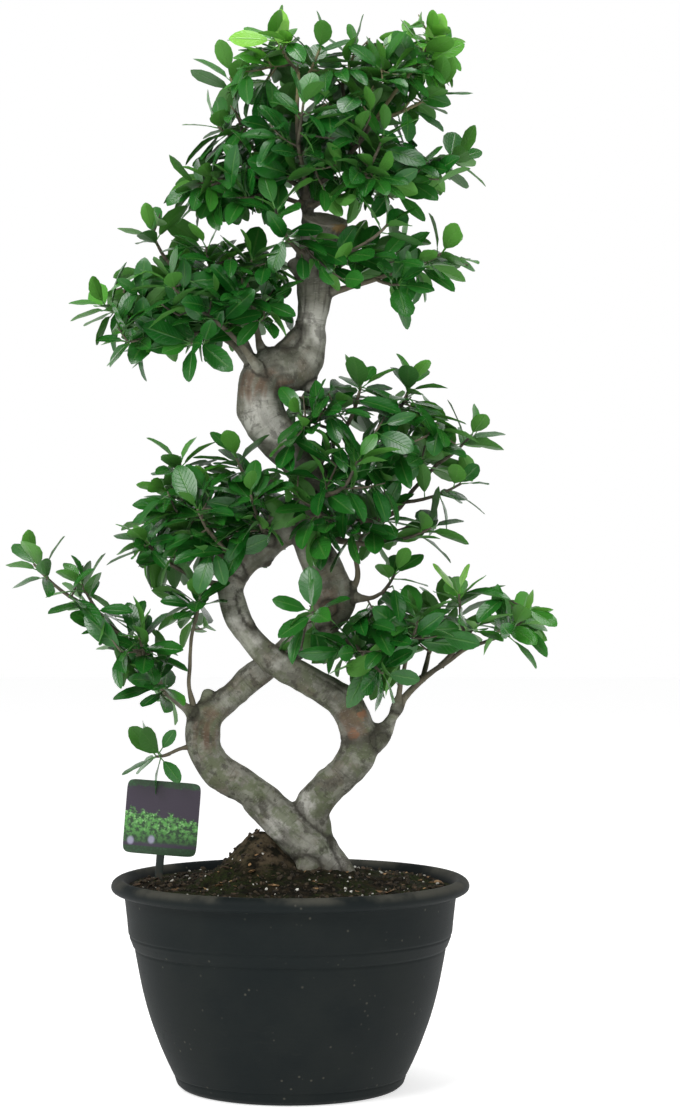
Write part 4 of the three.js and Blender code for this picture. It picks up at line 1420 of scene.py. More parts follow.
def unrolled(points: Array, runs: Sequence[Run]) -> tuple[Array, Array]:
    """Places on the nearest limb unrolled straight, (p . out, p . across, arc + p . along) from its nearest
    sample.

    Args:
        points: points p on the wood.
        runs: the limbs.

    Returns:
        The places, and the limb's radius at each.
    """
    keys = ("place", "along", "out", "across")
    place, along, out, across = (np.vstack([getattr(run, key) for run in runs]) for key in keys)
    radius = np.concatenate([run.radius for run in runs])
    arc = np.concatenate([run.arc + 137 * k for k, run in enumerate(runs)])
    nearest = []
    for chunk in np.array_split(points, len(points) // 2500 + 1):
        square = (chunk**2).sum(1)[:, None] + (place**2).sum(1)[None] - 2 * chunk @ place.T
        nearest.append((np.sqrt(np.maximum(square, 0)) - radius).argmin(1))
    near = np.concatenate(nearest)
    offset = points - place[near]
    straight = [(offset * way[near]).sum(1) for way in (out, across, along)]
    straight[2] += arc[near]
    return np.stack(straight, -1), radius[near]


def corner_normals(points: Array, quads: Array) -> Array:
    """Outward directions at points: the sum of the cross products of their faces' diagonals, unit long.

    Args:
        points: the points, shape (n, 3).
        quads: the faces, shape (m, 4).

    Returns:
        Directions, shape (n, 3).
    """
    face = np.cross(points[quads[:, 2]] - points[quads[:, 0]], points[quads[:, 3]] - points[quads[:, 1]])
    total = np.zeros_like(points)
    for k in range(4):
        np.add.at(total, quads[:, k], face)
    return unit(total)


@dataclass
class Trunk:
    """Two stems that braid once and join, their root flare, stubs, collars, knots and the sawn top."""

    step: float = 1.9
    low: Spot = (-134.0, -74.0, 160.0)
    high: Spot = (130.0, 76.0, 900.0)
    bottom: float = 168.0
    join: float = 7.0
    strand_join: float = 2.2
    collar_join: float = 5.0
    collar_length: float = 13.0
    collar_radius: float = 5.2
    spray_radius: float = 9.0
    cut_centre: Spot = (39.0, -2.0, 865.0)
    cut_way: Spot = (0.19, -0.46, 1.0)
    cut_middle: float = 38.0
    cut_reach: float = 34.0
    cut_low: float = 838.0
    sawn_low: float = 842.0
    wood: Wood = field(init=False)
    runs: list[Run] = field(init=False)

    def __post_init__(self) -> None:
        """Gathers the limbs and joins them on a grid."""
        self.wood = Wood(self.low, self.high, self.step)
        limbs = {name: Limb(points).run(3.2) for name, points in (STEMS | STUBS).items()}
        for name, run in limbs.items():
            self.wood.add(run, self.strand_join if name == "twin_strand" else self.join)
        self.wood.trim(self.cut_centre, self.cut_way, self.cut_low)
        collars = [self.collar(Limb(points).run(2.6)) for points in BRANCHES.values()]
        for run in collars:
            self.wood.add(run, self.collar_join)
        self.wood.trim((0, 0, self.bottom), (0, 0, -1), self.low[2])
        self.runs = [*limbs.values(), *collars]

    def collar(self, run: Run) -> Run:
        """The thick start of a branch, flared by 1.6 exp(-s / 6), and slim unless the branch is a spray's.

        Args:
            run: the branch.

        Returns:
            The run of its start.
        """
        start = run.arc < self.collar_length
        thick = np.flatnonzero(start | (run.radius > 4.4))
        end = max(3, int(thick.max()) + 1 if len(thick) == thick.max() + 1 else int(start.sum()))
        arc, radius = run.arc[:end], run.radius[:end]
        if run.radius[0] < self.spray_radius:
            radius = np.minimum(radius, self.collar_radius)
        radius = radius + 1.6 * np.exp(-arc / 6) - (arc / arc[-1]) ** 3
        return Run(run.place[:end], radius, arc, run.along[:end], run.out[:end], run.across[:end])

    def build(self) -> Piece:
        """Draws the surface out of the grid and gives it flutes, folds, lumps and rings."""
        points, quads = self.wood.surface()
        grain, girth = unrolled(points, self.runs)
        plane = (points - np.array(self.cut_centre)) @ unit(np.array(self.cut_way))
        near_cut = np.hypot(points[:, 0] - self.cut_middle, points[:, 1]) < self.cut_reach
        sawn = np.clip(1.6 - np.abs(plane) / 1.1, 0, 1) * near_cut * (points[:, 2] > self.sawn_low)
        bulk = np.clip(girth / 18, 0.1, 1.1)
        flutes = noise3(grain * [1, 1, 0.2], 13, 3)
        fold = noise3(grain * [1, 1, 0.14] + [0, 0, 900], 17, 11)
        folds = np.exp(-((fold / 0.085) ** 2)) * np.clip(1.6 * noise3(points, 60, 21) + 0.55, 0, 1)
        lumps = noise3(points, 24, 7) + 0.55 * noise3(points, 10, 8)
        rings = noise3(grain * [0.22, 0.22, 1], 6, 5)
        rise = bulk * (1.35 * flutes + 1.5 * lumps - 1.7 * folds) + 0.42 * rings * np.clip(girth / 12, 0, 1)
        moved = points + corner_normals(points, quads) * (rise * (1 - sawn))[:, None]
        piece = put("trunk_wood", moved, [quads], Bark().make())
        # painted shade: how deep each point lies in a crease or fold, which the bark darkens
        crease = np.maximum(self.wood.creases[self.wood.at(points)], 0.62 * folds) * (1 - sawn)
        store(piece, grain=grain * MM, girth=girth * MM, crease=crease, sawn=sawn)
        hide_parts("trunk")
        return piece


@dataclass
class Branches:
    """The branches that carry the pads, each a tapering bar with swellings where buds were."""

    sides: int = 9
    stretch: float = 3.6
    spray_radius: float = 9.0
    thickest: float = 4.6

    def build(self) -> Piece:
        """Carries a round section along each branch: (0.84 r - 0.1) (1 + 0.09 noise) + 0.9 exp(-s / 6)."""
        heap = Heap()
        for number, points in enumerate(BRANCHES.values()):
            run = Limb(points).run(self.stretch)
            bent = np.stack([noise3(run.place + 57 * k, 16, 30 + k) for k in range(3)], -1)
            run.place = run.place + bent * 0.9 * np.clip(run.arc / 20, 0, 1)[:, None]
            bud = 1 + 0.09 * noise3(run.place, 5, 40 + number)
            run.radius = (0.84 * run.radius - 0.1) * bud + 0.9 * np.exp(-run.arc / 6)
            if run.radius[0] < self.spray_radius:
                run.radius = np.minimum(run.radius, self.thickest)
            shape, faces, marks = tube(run, self.sides)
            heap.add(shape, faces, marks + [0, 0, 91 * number, 0])
        piece = dress_wood("branches", heap)
        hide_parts("trunk")
        return piece


def dress_wood(name: str, heap: Heap) -> Piece:
    """Makes a piece of bars and gives it young bark.

    Args:
        name: its name.
        heap: the bars, with their unrolled places and radii as marks.

    Returns:
        The piece.
    """
    piece, marks = heap.put(name, Slot.BARK, Bark(name=f"bark_{name}").make())
    none = np.zeros(len(marks))
    store(piece, grain=marks[:, :3] * MM, girth=marks[:, 3] * MM, crease=none, sawn=none)
    return piece


# Leaves


@dataclass(frozen=True)
class Twig:
    """A thin twig on a parabola that sags by a share of its length and turns up at its tip."""

    base: Array
    tip: Array
    thick: float
    thin: float
    sag: float = 0.12

    @property
    def middle(self) -> Array:
        """The parabola's middle corner."""
        return (self.base + self.tip) / 2 - self.sag * np.linalg.norm(self.tip - self.base) * UP

    def at(self, share: Share) -> Array:
        """The twig's place at a share of the way, or at many."""
        return parabola(self.base, self.middle, self.tip, share)

    def way(self, share: float) -> Array:
        """The twig's direction, its slope at length 1."""
        return unit((1 - share) * (self.middle - self.base) + share * (self.tip - self.middle))

    def run(self, steps: int) -> Run:
        """Samples the twig.

        Args:
            steps: how many samples.

        Returns:
            The run.
        """
        share = np.linspace(0, 1, steps + 1)[:, None]
        place = self.at(share)
        return framed(place, self.thick + (self.thin - self.thick) * share[:, 0], travelled(place))


@dataclass
class Leaf:
    """One leaf: its stalk's start, its way and face, its blade's length, its tint for how new it is, with
    painted light added on some tier leaves, and its curl.
    """

    root: Array
    way: Array
    face: Array
    length: float
    tint: float = 0.3
    curl: float = 0.0

    @property
    def aside(self) -> Array:
        """The direction across the blade."""
        return np.cross(self.face, self.way)


def draw(seed: float) -> float:
    """A number from 0 to 1, always the same for a seed: the fraction of 43758.5453 sin(12.9898 seed)."""
    turned = math.sin(seed * 12.9898) * 43758.5453
    return turned - math.floor(turned)


def off_twig(along: Array, tilt: float, spin: float) -> tuple[Array, Array]:
    """A direction off a twig: along cos(tilt) + radial sin(tilt).

    Args:
        along: the twig's direction.
        tilt: the angle off it.
        spin: the radial part's turn round it, from straight up.

    Returns:
        The direction and the radial part.
    """
    across = np.cross(along, UP)
    across = unit(across) if across @ across >= 1e-4 else np.array([1.0, 0.0, 0.0])
    radial = np.cross(across, along) * math.cos(spin) + across * math.sin(spin)
    return along * math.cos(tilt) + radial * math.sin(tilt), radial


@dataclass(frozen=True)
class Blade:
    """The form of a leaf: oval with its widest part past the middle, a shallow keel, drooping to its tip."""

    length: float = 38.0
    shape: float = 0.54
    stalk: float = 7.0
    droop: float = 0.16
    keel: float = 0.24
    thickness: float = 0.7
    stations: tuple[float, ...] = (0.06, 0.22, 0.42, 0.64, 0.84, 0.955)
    widths: tuple[float, ...] = (0.25, 0.67, 0.95, 0.98, 0.71, 0.32)
    columns: tuple[float, ...] = (-1.0, -0.52, 0.0, 0.52, 1.0)

    def grid(self) -> tuple[Array, ...]:
        """Each point's share across, share along, width and side: 1 on top, -1 below, 0 at the rim."""
        across, along = np.meshgrid(self.columns, self.stations)
        wide = np.broadcast_to(np.array(self.widths)[:, None], across.shape)
        top = np.stack([across, along, wide, np.abs(across) < 0.99], -1)
        under = np.stack([across, along, wide, -np.ones_like(across)], -1)[:, 1:-1]
        return tuple(np.vstack([top.reshape(-1, 4), under.reshape(-1, 4), [0, 0, 0, 0], [0, 1, 0, 0]]).T)

    def faces(self) -> tuple[Array, Array, Array]:
        """The blade's four-cornered faces, its three-cornered ones and the stalk's, upper faces first."""
        rows, columns = len(self.stations), len(self.columns)
        top = np.arange(rows * columns).reshape(rows, columns)
        under = top.copy()
        under[:, 1:-1] = rows * columns + np.arange(rows * (columns - 2)).reshape(rows, columns - 2)
        base = np.full(columns - 1, under.max() + 1)
        quads, fans = [], []
        for face, flip in ((top, 1), (under, -1)):
            left, right = face[:, :-1], face[:, 1:]
            sheet = np.stack([left[:-1], left[1:], right[1:], right[:-1]], -1)
            quads.append(sheet.reshape(-1, 4)[:, ::flip])
            ends = np.stack([base, left[0], right[0]], -1), np.stack([base + 1, right[-1], left[-1]], -1)
            fans.append(np.vstack(ends)[:, ::flip])
        stem = np.array([[0, 1, 4, 3], [1, 2, 5, 4], [2, 0, 3, 5]]) + base[0] + 2
        return np.vstack(quads), np.vstack(fans), stem

    def spread(self, leaves: Sequence[Leaf]) -> Array:
        """Places the form on leaves: root + way a + aside u w + face h, with the height
        h = level + keel |u| w - droop reach (a / reach)^2 and keel and droop changed a little by curl.

        Args:
            leaves: n leaves.

        Returns:
            Points, shape (n, points of one leaf, 3).
        """
        u, v, w, side = self.grid()
        length, curl = np.array([(leaf.length, leaf.curl) for leaf in leaves]).T[..., None]
        reach = self.stalk + length
        a = self.stalk + v * length
        wide = u * w * self.shape * (1 - 0.14 * curl) * length / 2
        keel = self.keel * (1 + 0.8 * curl) * (np.sqrt(wide**2 + 1) - 1) - 0.01 * wide**2
        wave = 0.45 * np.sin(v * 11 + 7 * curl) * u
        level = side * self.thickness / 2 * (1 - 0.55 * u**2) + keel + wave
        drop = (self.droop + 0.07 * curl) * reach * (a / reach) ** 2
        blades = self.placed(leaves, a, wide + 1.6 * curl * (v - 0.3) ** 2, level - drop)
        ring = np.tile([0.0, 2.1, 4.2], 2)
        a = np.repeat([0.0, self.stalk + 1.5], 3)[None] + 0 * length
        thick = np.repeat([0.85, 0.62], 3)
        level = thick * np.sin(ring) - self.droop * reach * (a / reach) ** 2
        return np.concatenate([blades, self.placed(leaves, a, thick * np.cos(ring) + 0 * length, level)], 1)

    def placed(self, leaves: Sequence[Leaf], *parts: Array) -> Array:
        """root + way a + aside wide + face level for each leaf, the parts in that order.

        Args:
            leaves: n leaves.
            parts: lengths along, across and out of them, shape (n, points).

        Returns:
            Points, shape (n, points, 3).
        """
        place = np.array([leaf.root for leaf in leaves])[:, None]
        for key, part in zip(("way", "aside", "face"), parts):
            place = place + np.array([getattr(leaf, key) for leaf in leaves])[:, None] * part[..., None]
        return place

    def net(self, leaf: Leaf) -> Array:
        """Points all over the middle of a blade, 2 to 3 mm apart.

        Args:
            leaf: the leaf.

        Returns:
            The points, shape (112, 3).
        """
        v, u = (axis.ravel() for axis in np.meshgrid(np.linspace(0.05, 1, 14), np.linspace(-0.92, 0.92, 8)))
        width = np.interp(v, (0, *self.stations, 1), (0, *self.widths, 0))
        wide = u * width * self.shape * leaf.length / 2
        a = self.stalk + v * leaf.length
        reach = self.stalk + leaf.length
        level = self.keel * np.abs(wide) * 0.8 - self.droop * reach * (a / reach) ** 2
        return leaf.root + leaf.way * a[:, None] + leaf.aside * wide[:, None] + leaf.face * level[:, None]

    def tip(self, leaf: Leaf) -> Array:
        """The blade's tip."""
        reach = self.stalk + leaf.length
        return leaf.root + leaf.way * reach - leaf.face * self.droop * reach


def seen(points: Array) -> Array:
    """Where points p show in the upright plane through the axis from an eye e: e + (p - e) ey / (ey - y)."""
    eye = np.array(EYE)[[0, 2]]
    return eye + (points[:, [0, 2]] - eye) * (EYE[1] / (EYE[1] - points[:, 1:2]))


class Room(Grid):
    """Which small cubes of the air are taken, so that leaves keep out of each other and of the wood."""

    def __init__(self, low: Spot, high: Spot, step: float) -> None:
        """Starts with all cubes free."""
        super().__init__(low, high, step)
        self.taken = np.zeros(self.shape.prod(), bool)

    def cubes(self, points: Array) -> Array:
        """The cubes that hold the points."""
        spot = np.clip(np.floor((points - self.low) / self.step).astype(int), 0, self.shape - 1)
        return np.unique(np.ravel_multi_index(tuple(spot.T), tuple(self.shape)))

    def full(self, points: Array) -> int:
        """How many of the points' cubes are taken."""
        return int(self.taken[self.cubes(points)].sum())

    def take(self, points: Array) -> None:
        """Takes the points' cubes."""
        self.taken[self.cubes(points)] = True


@dataclass(frozen=True)
class Pad:
    """A tier of foliage: its outline as (x, z) corners seen from the front, half its greatest depth, how
    open it is, from -1 for closed, where its middle lies from front to back, and the size of its leaves.
    """

    name: str
    deep: float
    outline: tuple[tuple[float, float], ...]
    open: float = -1.0
    middle: float = 0.0
    size: float = 1.08
    rim: float = 24.0

    def edge(self, points: Array) -> Array:
        """How far inside the outline points lie as seen from the front: the distance from the nearest side,
        negative where a line to the right crosses the outline an even number of times.

        Args:
            points: the points, shape (n, 3).

        Returns:
            Distances, shape (n,).
        """
        x, z = seen(points).T
        start = np.array(self.outline, float)
        way = np.roll(start, -1, 0) - start
        x, z = x[:, None] - start[:, 0], z[:, None] - start[:, 1]
        share = np.clip((x * way[:, 0] + z * way[:, 1]) / (way**2).sum(1), 0, 1)
        gap = np.hypot(x - share * way[:, 0], z - share * way[:, 1]).min(1)
        rise = np.where(way[:, 1] == 0, 1e-9, way[:, 1])
        crossed = ((z < 0) != (z < way[:, 1])) & (x < way[:, 0] * z / rise)
        return np.where(crossed.sum(1) % 2 == 1, gap, -gap)

    def holds(self, points: Array) -> Array:
        """Where the tier is filled: noise in flat layers, much the same front to back, is above open."""
        return noise3(points * [1, 0.3, 1.9], 46, 60) > self.open

    def half(self, edge: Array) -> Array:
        """Half the depth of the tier: the rim's at its outline, more inside it, up to its greatest."""
        return np.minimum(self.deep, self.rim + 1.05 * np.maximum(edge, 0))

    def outward(self, place: Array) -> Array:
        """The way out of the tier: down the slope of edge near its outline, and to the front or back.

        Args:
            place: a place in it.

        Returns:
            The direction.
        """
        edge = self.edge(place + 4 * np.array([(1, 0, 0), (-1, 0, 0), (0, 0, 1), (0, 0, -1), (0, 0, 0)]))
        flat = np.array([edge[1] - edge[0], 0, edge[3] - edge[2]]) / 8
        share = math.exp(-max(edge[4], 0) / 22)
        return unit(flat * share + [0, (place[1] - self.middle) / self.half(edge[4:])[0] - 0.02, 0])

    def spots(self, gap: float, chance: np.random.Generator) -> Array:
        """Spots gap apart in rows from the front, each at one to four depths between the tier's faces.

        Args:
            gap: the spacing.
            chance: the source of the jitter.

        Returns:
            Places, shape (n, 3).
        """
        corners = np.array(self.outline, float)
        low, high = corners.min(0), corners.max(0)
        x, z = np.meshgrid(np.arange(low[0], high[0], gap), np.arange(low[1], high[1], 0.87 * gap))
        x = x + (np.arange(len(x)) % 2)[:, None] * gap / 2
        flat = np.stack([x.ravel(), z.ravel()], -1) + (chance.random((x.size, 2)) - 0.5) * 0.7 * gap
        middle = np.insert(flat, 1, 0, axis=1)
        edge = self.edge(middle)
        half = self.half(edge)
        made = []
        for share, least in ((-0.8, 30), (0.8, 30), (-0.28, 38), (0.3, 46), (0, -1)):
            level = (share + 0.24 * (chance.random(len(edge)) - 0.5)) * half + self.middle
            spots = middle + level[:, None] * [0, 1, 0]
            wanted = (edge > 2) & ((half > least) if least > 0 else (half <= 30)) & self.holds(spots)
            far = (EYE[1] - level) / EYE[1]
            for axis in (0, 2):
                spots[:, axis] = EYE[axis] + (spots[:, axis] - EYE[axis]) * far
            made.append(spots[wanted])
        return np.vstack(made)


@dataclass
class Foliage:
    """The leafy shoots: the solids' own twigs and leaves in finer form, and the tiers filled round them."""

    blade: Blade = field(default_factory=Blade)
    twig_leaves: int = 10
    gap: float = 25.0
    longest: float = 66.0
    top: float = 1079.0
    sides: tuple[float, float] = (-289.0, 268.0)
    same: float = 0.4
    clear: float = 3.0
    shares: tuple[float, ...] = (1.0, 0.96, 0.86, 0.74, 0.62, 0.50, 0.36)
    room: Room = field(default_factory=lambda: Room((-300, -200, 180), (290, 200, 1100), 2.6))
    twigs: list[Twig] = field(default_factory=list)
    leaves: dict[str, list[Leaf]] = field(default_factory=dict)
    fresh: dict[str, float] = field(default_factory=dict)
    bars: list[Array] = field(default_factory=list)
    ends: Array = field(init=False)
    bare: Array = field(init=False)

    def plan(self, trunk: Trunk) -> None:
        """Grows every shoot: first the solids' leaves, then the leaves between them.

        Args:
            trunk: the wood that the leaves keep out of.
        """
        wood = trunk.wood
        self.room.take(wood.low + wood.step * np.argwhere(wood.values < 1))
        for points in BRANCHES.values():
            run = Limb(points).run(1.5)
            self.room.take(run.place)
            self.bars.append(np.hstack([run.place, run.along])[6::2])
        bare = []
        for limb, low, high in IN_SIGHT:
            run = Limb((STEMS | BRANCHES)[limb]).run(6)
            inside = (run.place[:, 2] > low) & (run.place[:, 2] < high)
            wide = run.radius[:, None] * np.array([1, 0, 0])
            bare.extend((run.place + side * wide)[inside] for side in (-0.6, 0, 0.6))
        self.bare = np.vstack(bare)
        mains = {}
        for tier, shoots in SHOOTS.items():
            for number, (branch, at, tip, fresh) in enumerate(shoots, 1):
                name = f"{tier}_{number:02d}" if len(shoots) > 1 else tier
                base, _ = Limb(BRANCHES[branch]).at(np.array([at]))
                mains[name] = Twig(base[0], np.array(tip, float), 2.1, 1.3)
                self.leaves[name], self.fresh[name] = [], fresh
        self.ends = np.array([twig.tip for twig in mains.values()])
        for number, (name, twig) in enumerate(mains.items()):
            self.keep(number, name, twig)
            self.hold(twig)
        for name, root, way, face, length, tint in SINGLES:
            ahead = unit(np.array(way, float))
            level = unit(np.array(face) - ahead * (ahead @ np.array(face)))
            self.leaves[name].append(Leaf(np.array(root, float), ahead, level, length, tint, -0.4))
            self.room.take(self.blade.net(self.leaves[name][-1]))
        for pad in PADS:
            near = {name: twig for name, twig in mains.items() if name.startswith(pad.name)}
            for number, (name, twig) in enumerate(near.items() if pad.middle == 0 else ()):
                self.dress(name, twig, pad, 700 * number + 3)
            self.fill(pad, near, wood)

    def planned(self, twig: Twig, seed: float, order: int) -> Leaf:
        """The solids' leaf on a main twig: tilted off it, turned round it, its face kept towards the sky.

        Args:
            twig: the twig.
            seed: the seed of its draws.
            order: its number from the twig's tip.

        Returns:
            The leaf.
        """
        at = 1 - 0.8 * (order / self.twig_leaves) ** 1.1
        along = twig.way(at)
        tilt = 0.5 + 0.6 * min(1, order / 3) + 0.24 * (draw(seed + 1) - 0.5)
        spin = 2 * math.pi * draw(seed - 17 * order) + order * GOLDEN_ANGLE
        way, radial = off_twig(along, tilt, spin)
        way = unit(way + 0.14 * UP)
        face = along * math.sin(tilt) - radial * math.cos(tilt) + 0.8 * UP
        face = unit(face - way * (face @ way))
        cos, sin = (turn(0.9 * (draw(seed + 2) - 0.5)) for turn in (math.cos, math.sin))
        face = face * cos + np.cross(way, face) * sin + way * (way @ face) * (1 - cos)
        length = self.blade.length * (0.74 + 0.26 * min(1, order / 2)) * (0.86 + 0.28 * draw(seed + 3))
        return Leaf(twig.at(at), way, face, length)

    def keep(self, number: int, name: str, twig: Twig) -> None:
        """Keeps the leaves that the solid of a shoot has, known by their tips among its corners.

        Args:
            number: the shoot's number.
            name: its name.
            twig: its main twig.
        """
        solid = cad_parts[f"shoot_{name}"].data
        corners = np.empty(len(solid.vertices) * 3, np.float32)
        solid.vertices.foreach_get("co", corners)
        corners = corners.reshape(-1, 3) / MM
        for order in range(self.twig_leaves):
            leaf = self.planned(twig, 1000 * number + 17 * order, order)
            tip = self.blade.tip(leaf)
            if np.linalg.norm(corners - tip, axis=1).min() > self.same:
                continue
            tint = self.fresh[name] * (1 - 0.13 * order) + 0.34 * (draw(number + 0.37 * order + 5.1) - 0.4)
            leaf.tint = float(np.clip(tint, 0, 1))
            leaf.curl = 2 * draw(number + 0.71 * order) - 1
            if leaf.way[2] > 0.8 and abs(leaf.face[1]) > 0.8 and tip[2] > 1050:
                leaf.face = unit(0.4 * leaf.face + 0.9 * np.cross(leaf.way, leaf.face))
            self.leaves[name].append(leaf)
            self.room.take(self.blade.net(leaf))

    def hold(self, twig: Twig) -> None:
        """Adds a twig, which later twigs may start from.

        Args:
            twig: the twig.
        """
        run = twig.run(12)
        self.twigs.append(twig)
        self.bars.append(np.hstack([run.place, run.along])[3:])

    def laid(self, twig: Twig, at: float, pad: Pad, order: int, seed: float) -> Leaf:
        """A leaf with its face to the light: its way less most of its part along the wished face, which is
        0.80 up + 0.46 out of the tier + a random part.

        Args:
            twig: the twig.
            at: its share along it.
            pad: the tier.
            order: its number from the tip, which gives its turn by the golden angle.
            seed: the seed of its draws.

        Returns:
            The leaf.
        """
        root = twig.at(at)
        chance = [draw(seed + 7.3 * k) for k in range(8)]
        out = pad.outward(root)
        tilt = 0.42 + 0.2 * min(order, 4) + 0.4 * (chance[0] - 0.5)
        way, _ = off_twig(twig.way(at), tilt, order * GOLDEN_ANGLE + 2.6 * chance[1])
        wish = unit(0.8 * UP + 0.46 * out + 1.4 * (np.array(chance[2:5]) - 0.5))
        lift = 0.2 - 0.12 * (order % 7) + 0.2 * chance[5]
        way = unit(way + 0.45 * out - 0.6 * (way @ wish) * wish + lift * UP)
        face = unit(wish - way * (wish @ way) + 1e-4)
        face = unit(face - way * (face @ way))
        length = self.blade.length * pad.size * (0.72 + 0.38 * chance[6]) * (0.86 if order < 2 else 1)
        leaf = Leaf(root, way, face, length, curl=2.5 * chance[7] - 0.5)
        tip = self.blade.tip(leaf)
        # rim: leaves near the tier's outline get a lighter tint as newer outer growth, and painted light
        # makes it lighter still the more their face points up
        rim = math.exp(-max(pad.edge(tip[None])[0], 0) / 20) * (0.5 + 0.5 * face[2])
        near = np.exp(-((np.linalg.norm(self.ends - tip, axis=1) / 38) ** 2))
        young = float((near * np.maximum(np.array([*self.fresh.values()]) - 0.45, 0)).max()) * 1.5
        top = 0.34 * float(np.clip((root[2] - 1008) / 40, 0, 1))
        tint = 0.03 + 0.42 * chance[3] * chance[5] + 0.24 * rim + young + top + (0.12 if order < 2 else 0)
        leaf.tint = float(np.clip(tint, 0, 1))
        return leaf

    def offer(self, name: str, leaf: Leaf, pad: Pad) -> bool:
        """Adds a leaf if it lies inside its tier, has room and hides no limb that stays in sight.

        Args:
            name: its shoot.
            leaf: the leaf.
            pad: its tier.

        Returns:
            Whether it was added.
        """
        net = self.blade.net(leaf)
        x, y, z = net.T
        edge = pad.edge(net)
        ahead = max(0, float(pad.outward(leaf.root) @ leaf.way) - 0.35) * min(1, 1 - leaf.way[2])
        inside = np.sort(edge)[len(edge) // 8] >= -2 - 16 * ahead and z.max() <= self.top
        inside = inside and x.min() >= self.sides[0] and x.max() <= self.sides[1]
        if not inside or (np.abs(y - pad.middle) > pad.half(edge) + 24).any() or self.room.full(net) > 4:
            return False
        aside = np.linalg.norm(seen(net)[:, None] - seen(self.bare)[None], axis=2) < self.clear
        before = y[:, None] < self.bare[None, :, 1] - self.clear
        if not pad.holds(self.blade.tip(leaf)[None])[0] or (aside & before).any():
            return False
        self.room.take(net)
        self.leaves[name].append(leaf)
        return True

    def dress(self, name: str, twig: Twig, pad: Pad, seed: float) -> int:
        """Offers a twig its leaves, each in up to four directions.

        Args:
            name: its shoot.
            twig: the twig.
            pad: its tier.
            seed: the seed of its draws.

        Returns:
            How many leaves it got.
        """
        added = 0
        for order, share in enumerate(self.shares):
            for attempt in range(4):
                draws = seed + 13.7 * order + 101.9 * attempt
                if self.offer(name, self.laid(twig, share, pad, order + 2 * attempt, draws), pad):
                    added += 1
                    break
        return added

    def fill(self, pad: Pad, mains: dict[str, Twig], wood: Wood) -> None:
        """Grows twigs to spots all over a tier, nearest first, each from the bar that leads there best.

        Args:
            pad: the tier.
            mains: its shoots' main twigs.
            wood: the trunk, which no twig may cross.
        """
        chance = np.random.default_rng(len(pad.outline))
        spots = pad.spots(self.gap, chance)
        before = len(self.twigs)
        tips = np.array([twig.tip for twig in mains.values()])
        bars = np.vstack(self.bars)
        far = np.array([np.linalg.norm(bars[:, :3] - spot, axis=1).min() for spot in spots])
        for number in np.argsort(far):
            spot = spots[number]
            bars = np.vstack(self.bars)
            way = spot - bars[:, :3]
            gap = np.maximum(np.linalg.norm(way, axis=1), 1e-6)
            cost = gap * (1.3 - 0.5 * (way * bars[:, 3:]).sum(1) / gap) + 40 * (gap < 10)
            best = int(cost.argmin())
            if gap[best] > self.longest:
                continue
            sag = 0.05 + 0.1 * float(chance.random())
            twig = Twig(bars[best, :3], spot, 0.95 + 0.011 * gap[best], 0.75, sag)
            if (wood.read(twig.run(10).place[3:]) < 2).any():
                continue
            name = list(mains)[int(np.linalg.norm(tips - spot, axis=1).argmin())]
            if self.dress(name, twig, pad, 37.1 * number + 900 * len(pad.outline)):
                self.hold(twig)
        log.info("%s: %d of %d spots reached", pad.name, len(self.twigs) - before, len(spots))

    def build(self) -> None:
        """Makes a piece of leaves for each shoot and one piece of all the twigs."""
        skin = LeafSkin().make()
        groups = self.blade.faces()
        u, v, _, _ = self.blade.grid()
        flat = np.pad(np.column_stack([u / 2 + 0.5, v]), ((0, 6), (0, 0)))
        flat[len(u):, 0] = 0.5
        below = [np.repeat([0.0, 1.0], len(group) // 2) for group in groups[:2]] + [np.full(3, 0.6)]
        for name, leaves in self.leaves.items():
            count = len(leaves)
            shift = len(flat) * np.arange(count)[:, None, None]
            faces = [(group[None] + shift).reshape(-1, group.shape[1]) for group in groups]
            piece = put(f"leaves_{name}", self.blade.spread(leaves).reshape(-1, 3), faces, skin)
            map_flat(piece, "blade", np.tile(flat, (count, 1)))
            store(piece, tint=np.repeat([leaf.tint for leaf in leaves], len(flat)))
            store(piece, "FACE", under=np.concatenate([np.tile(part, count) for part in below]))
            piece.data.set_sharp_from_angle(angle=math.radians(70))
            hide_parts(f"shoot_{name}")
        heap = Heap()
        for number, twig in enumerate(self.twigs):
            shape, faces, marks = tube(twig.run(6), 5)
            heap.add(shape, faces, marks + [0, 0, 41 * number, 0])
        dress_wood("twigs", heap)
        log.info("leaves: %d on %d twigs", sum(map(len, self.leaves.values())), len(self.twigs))


# The studio


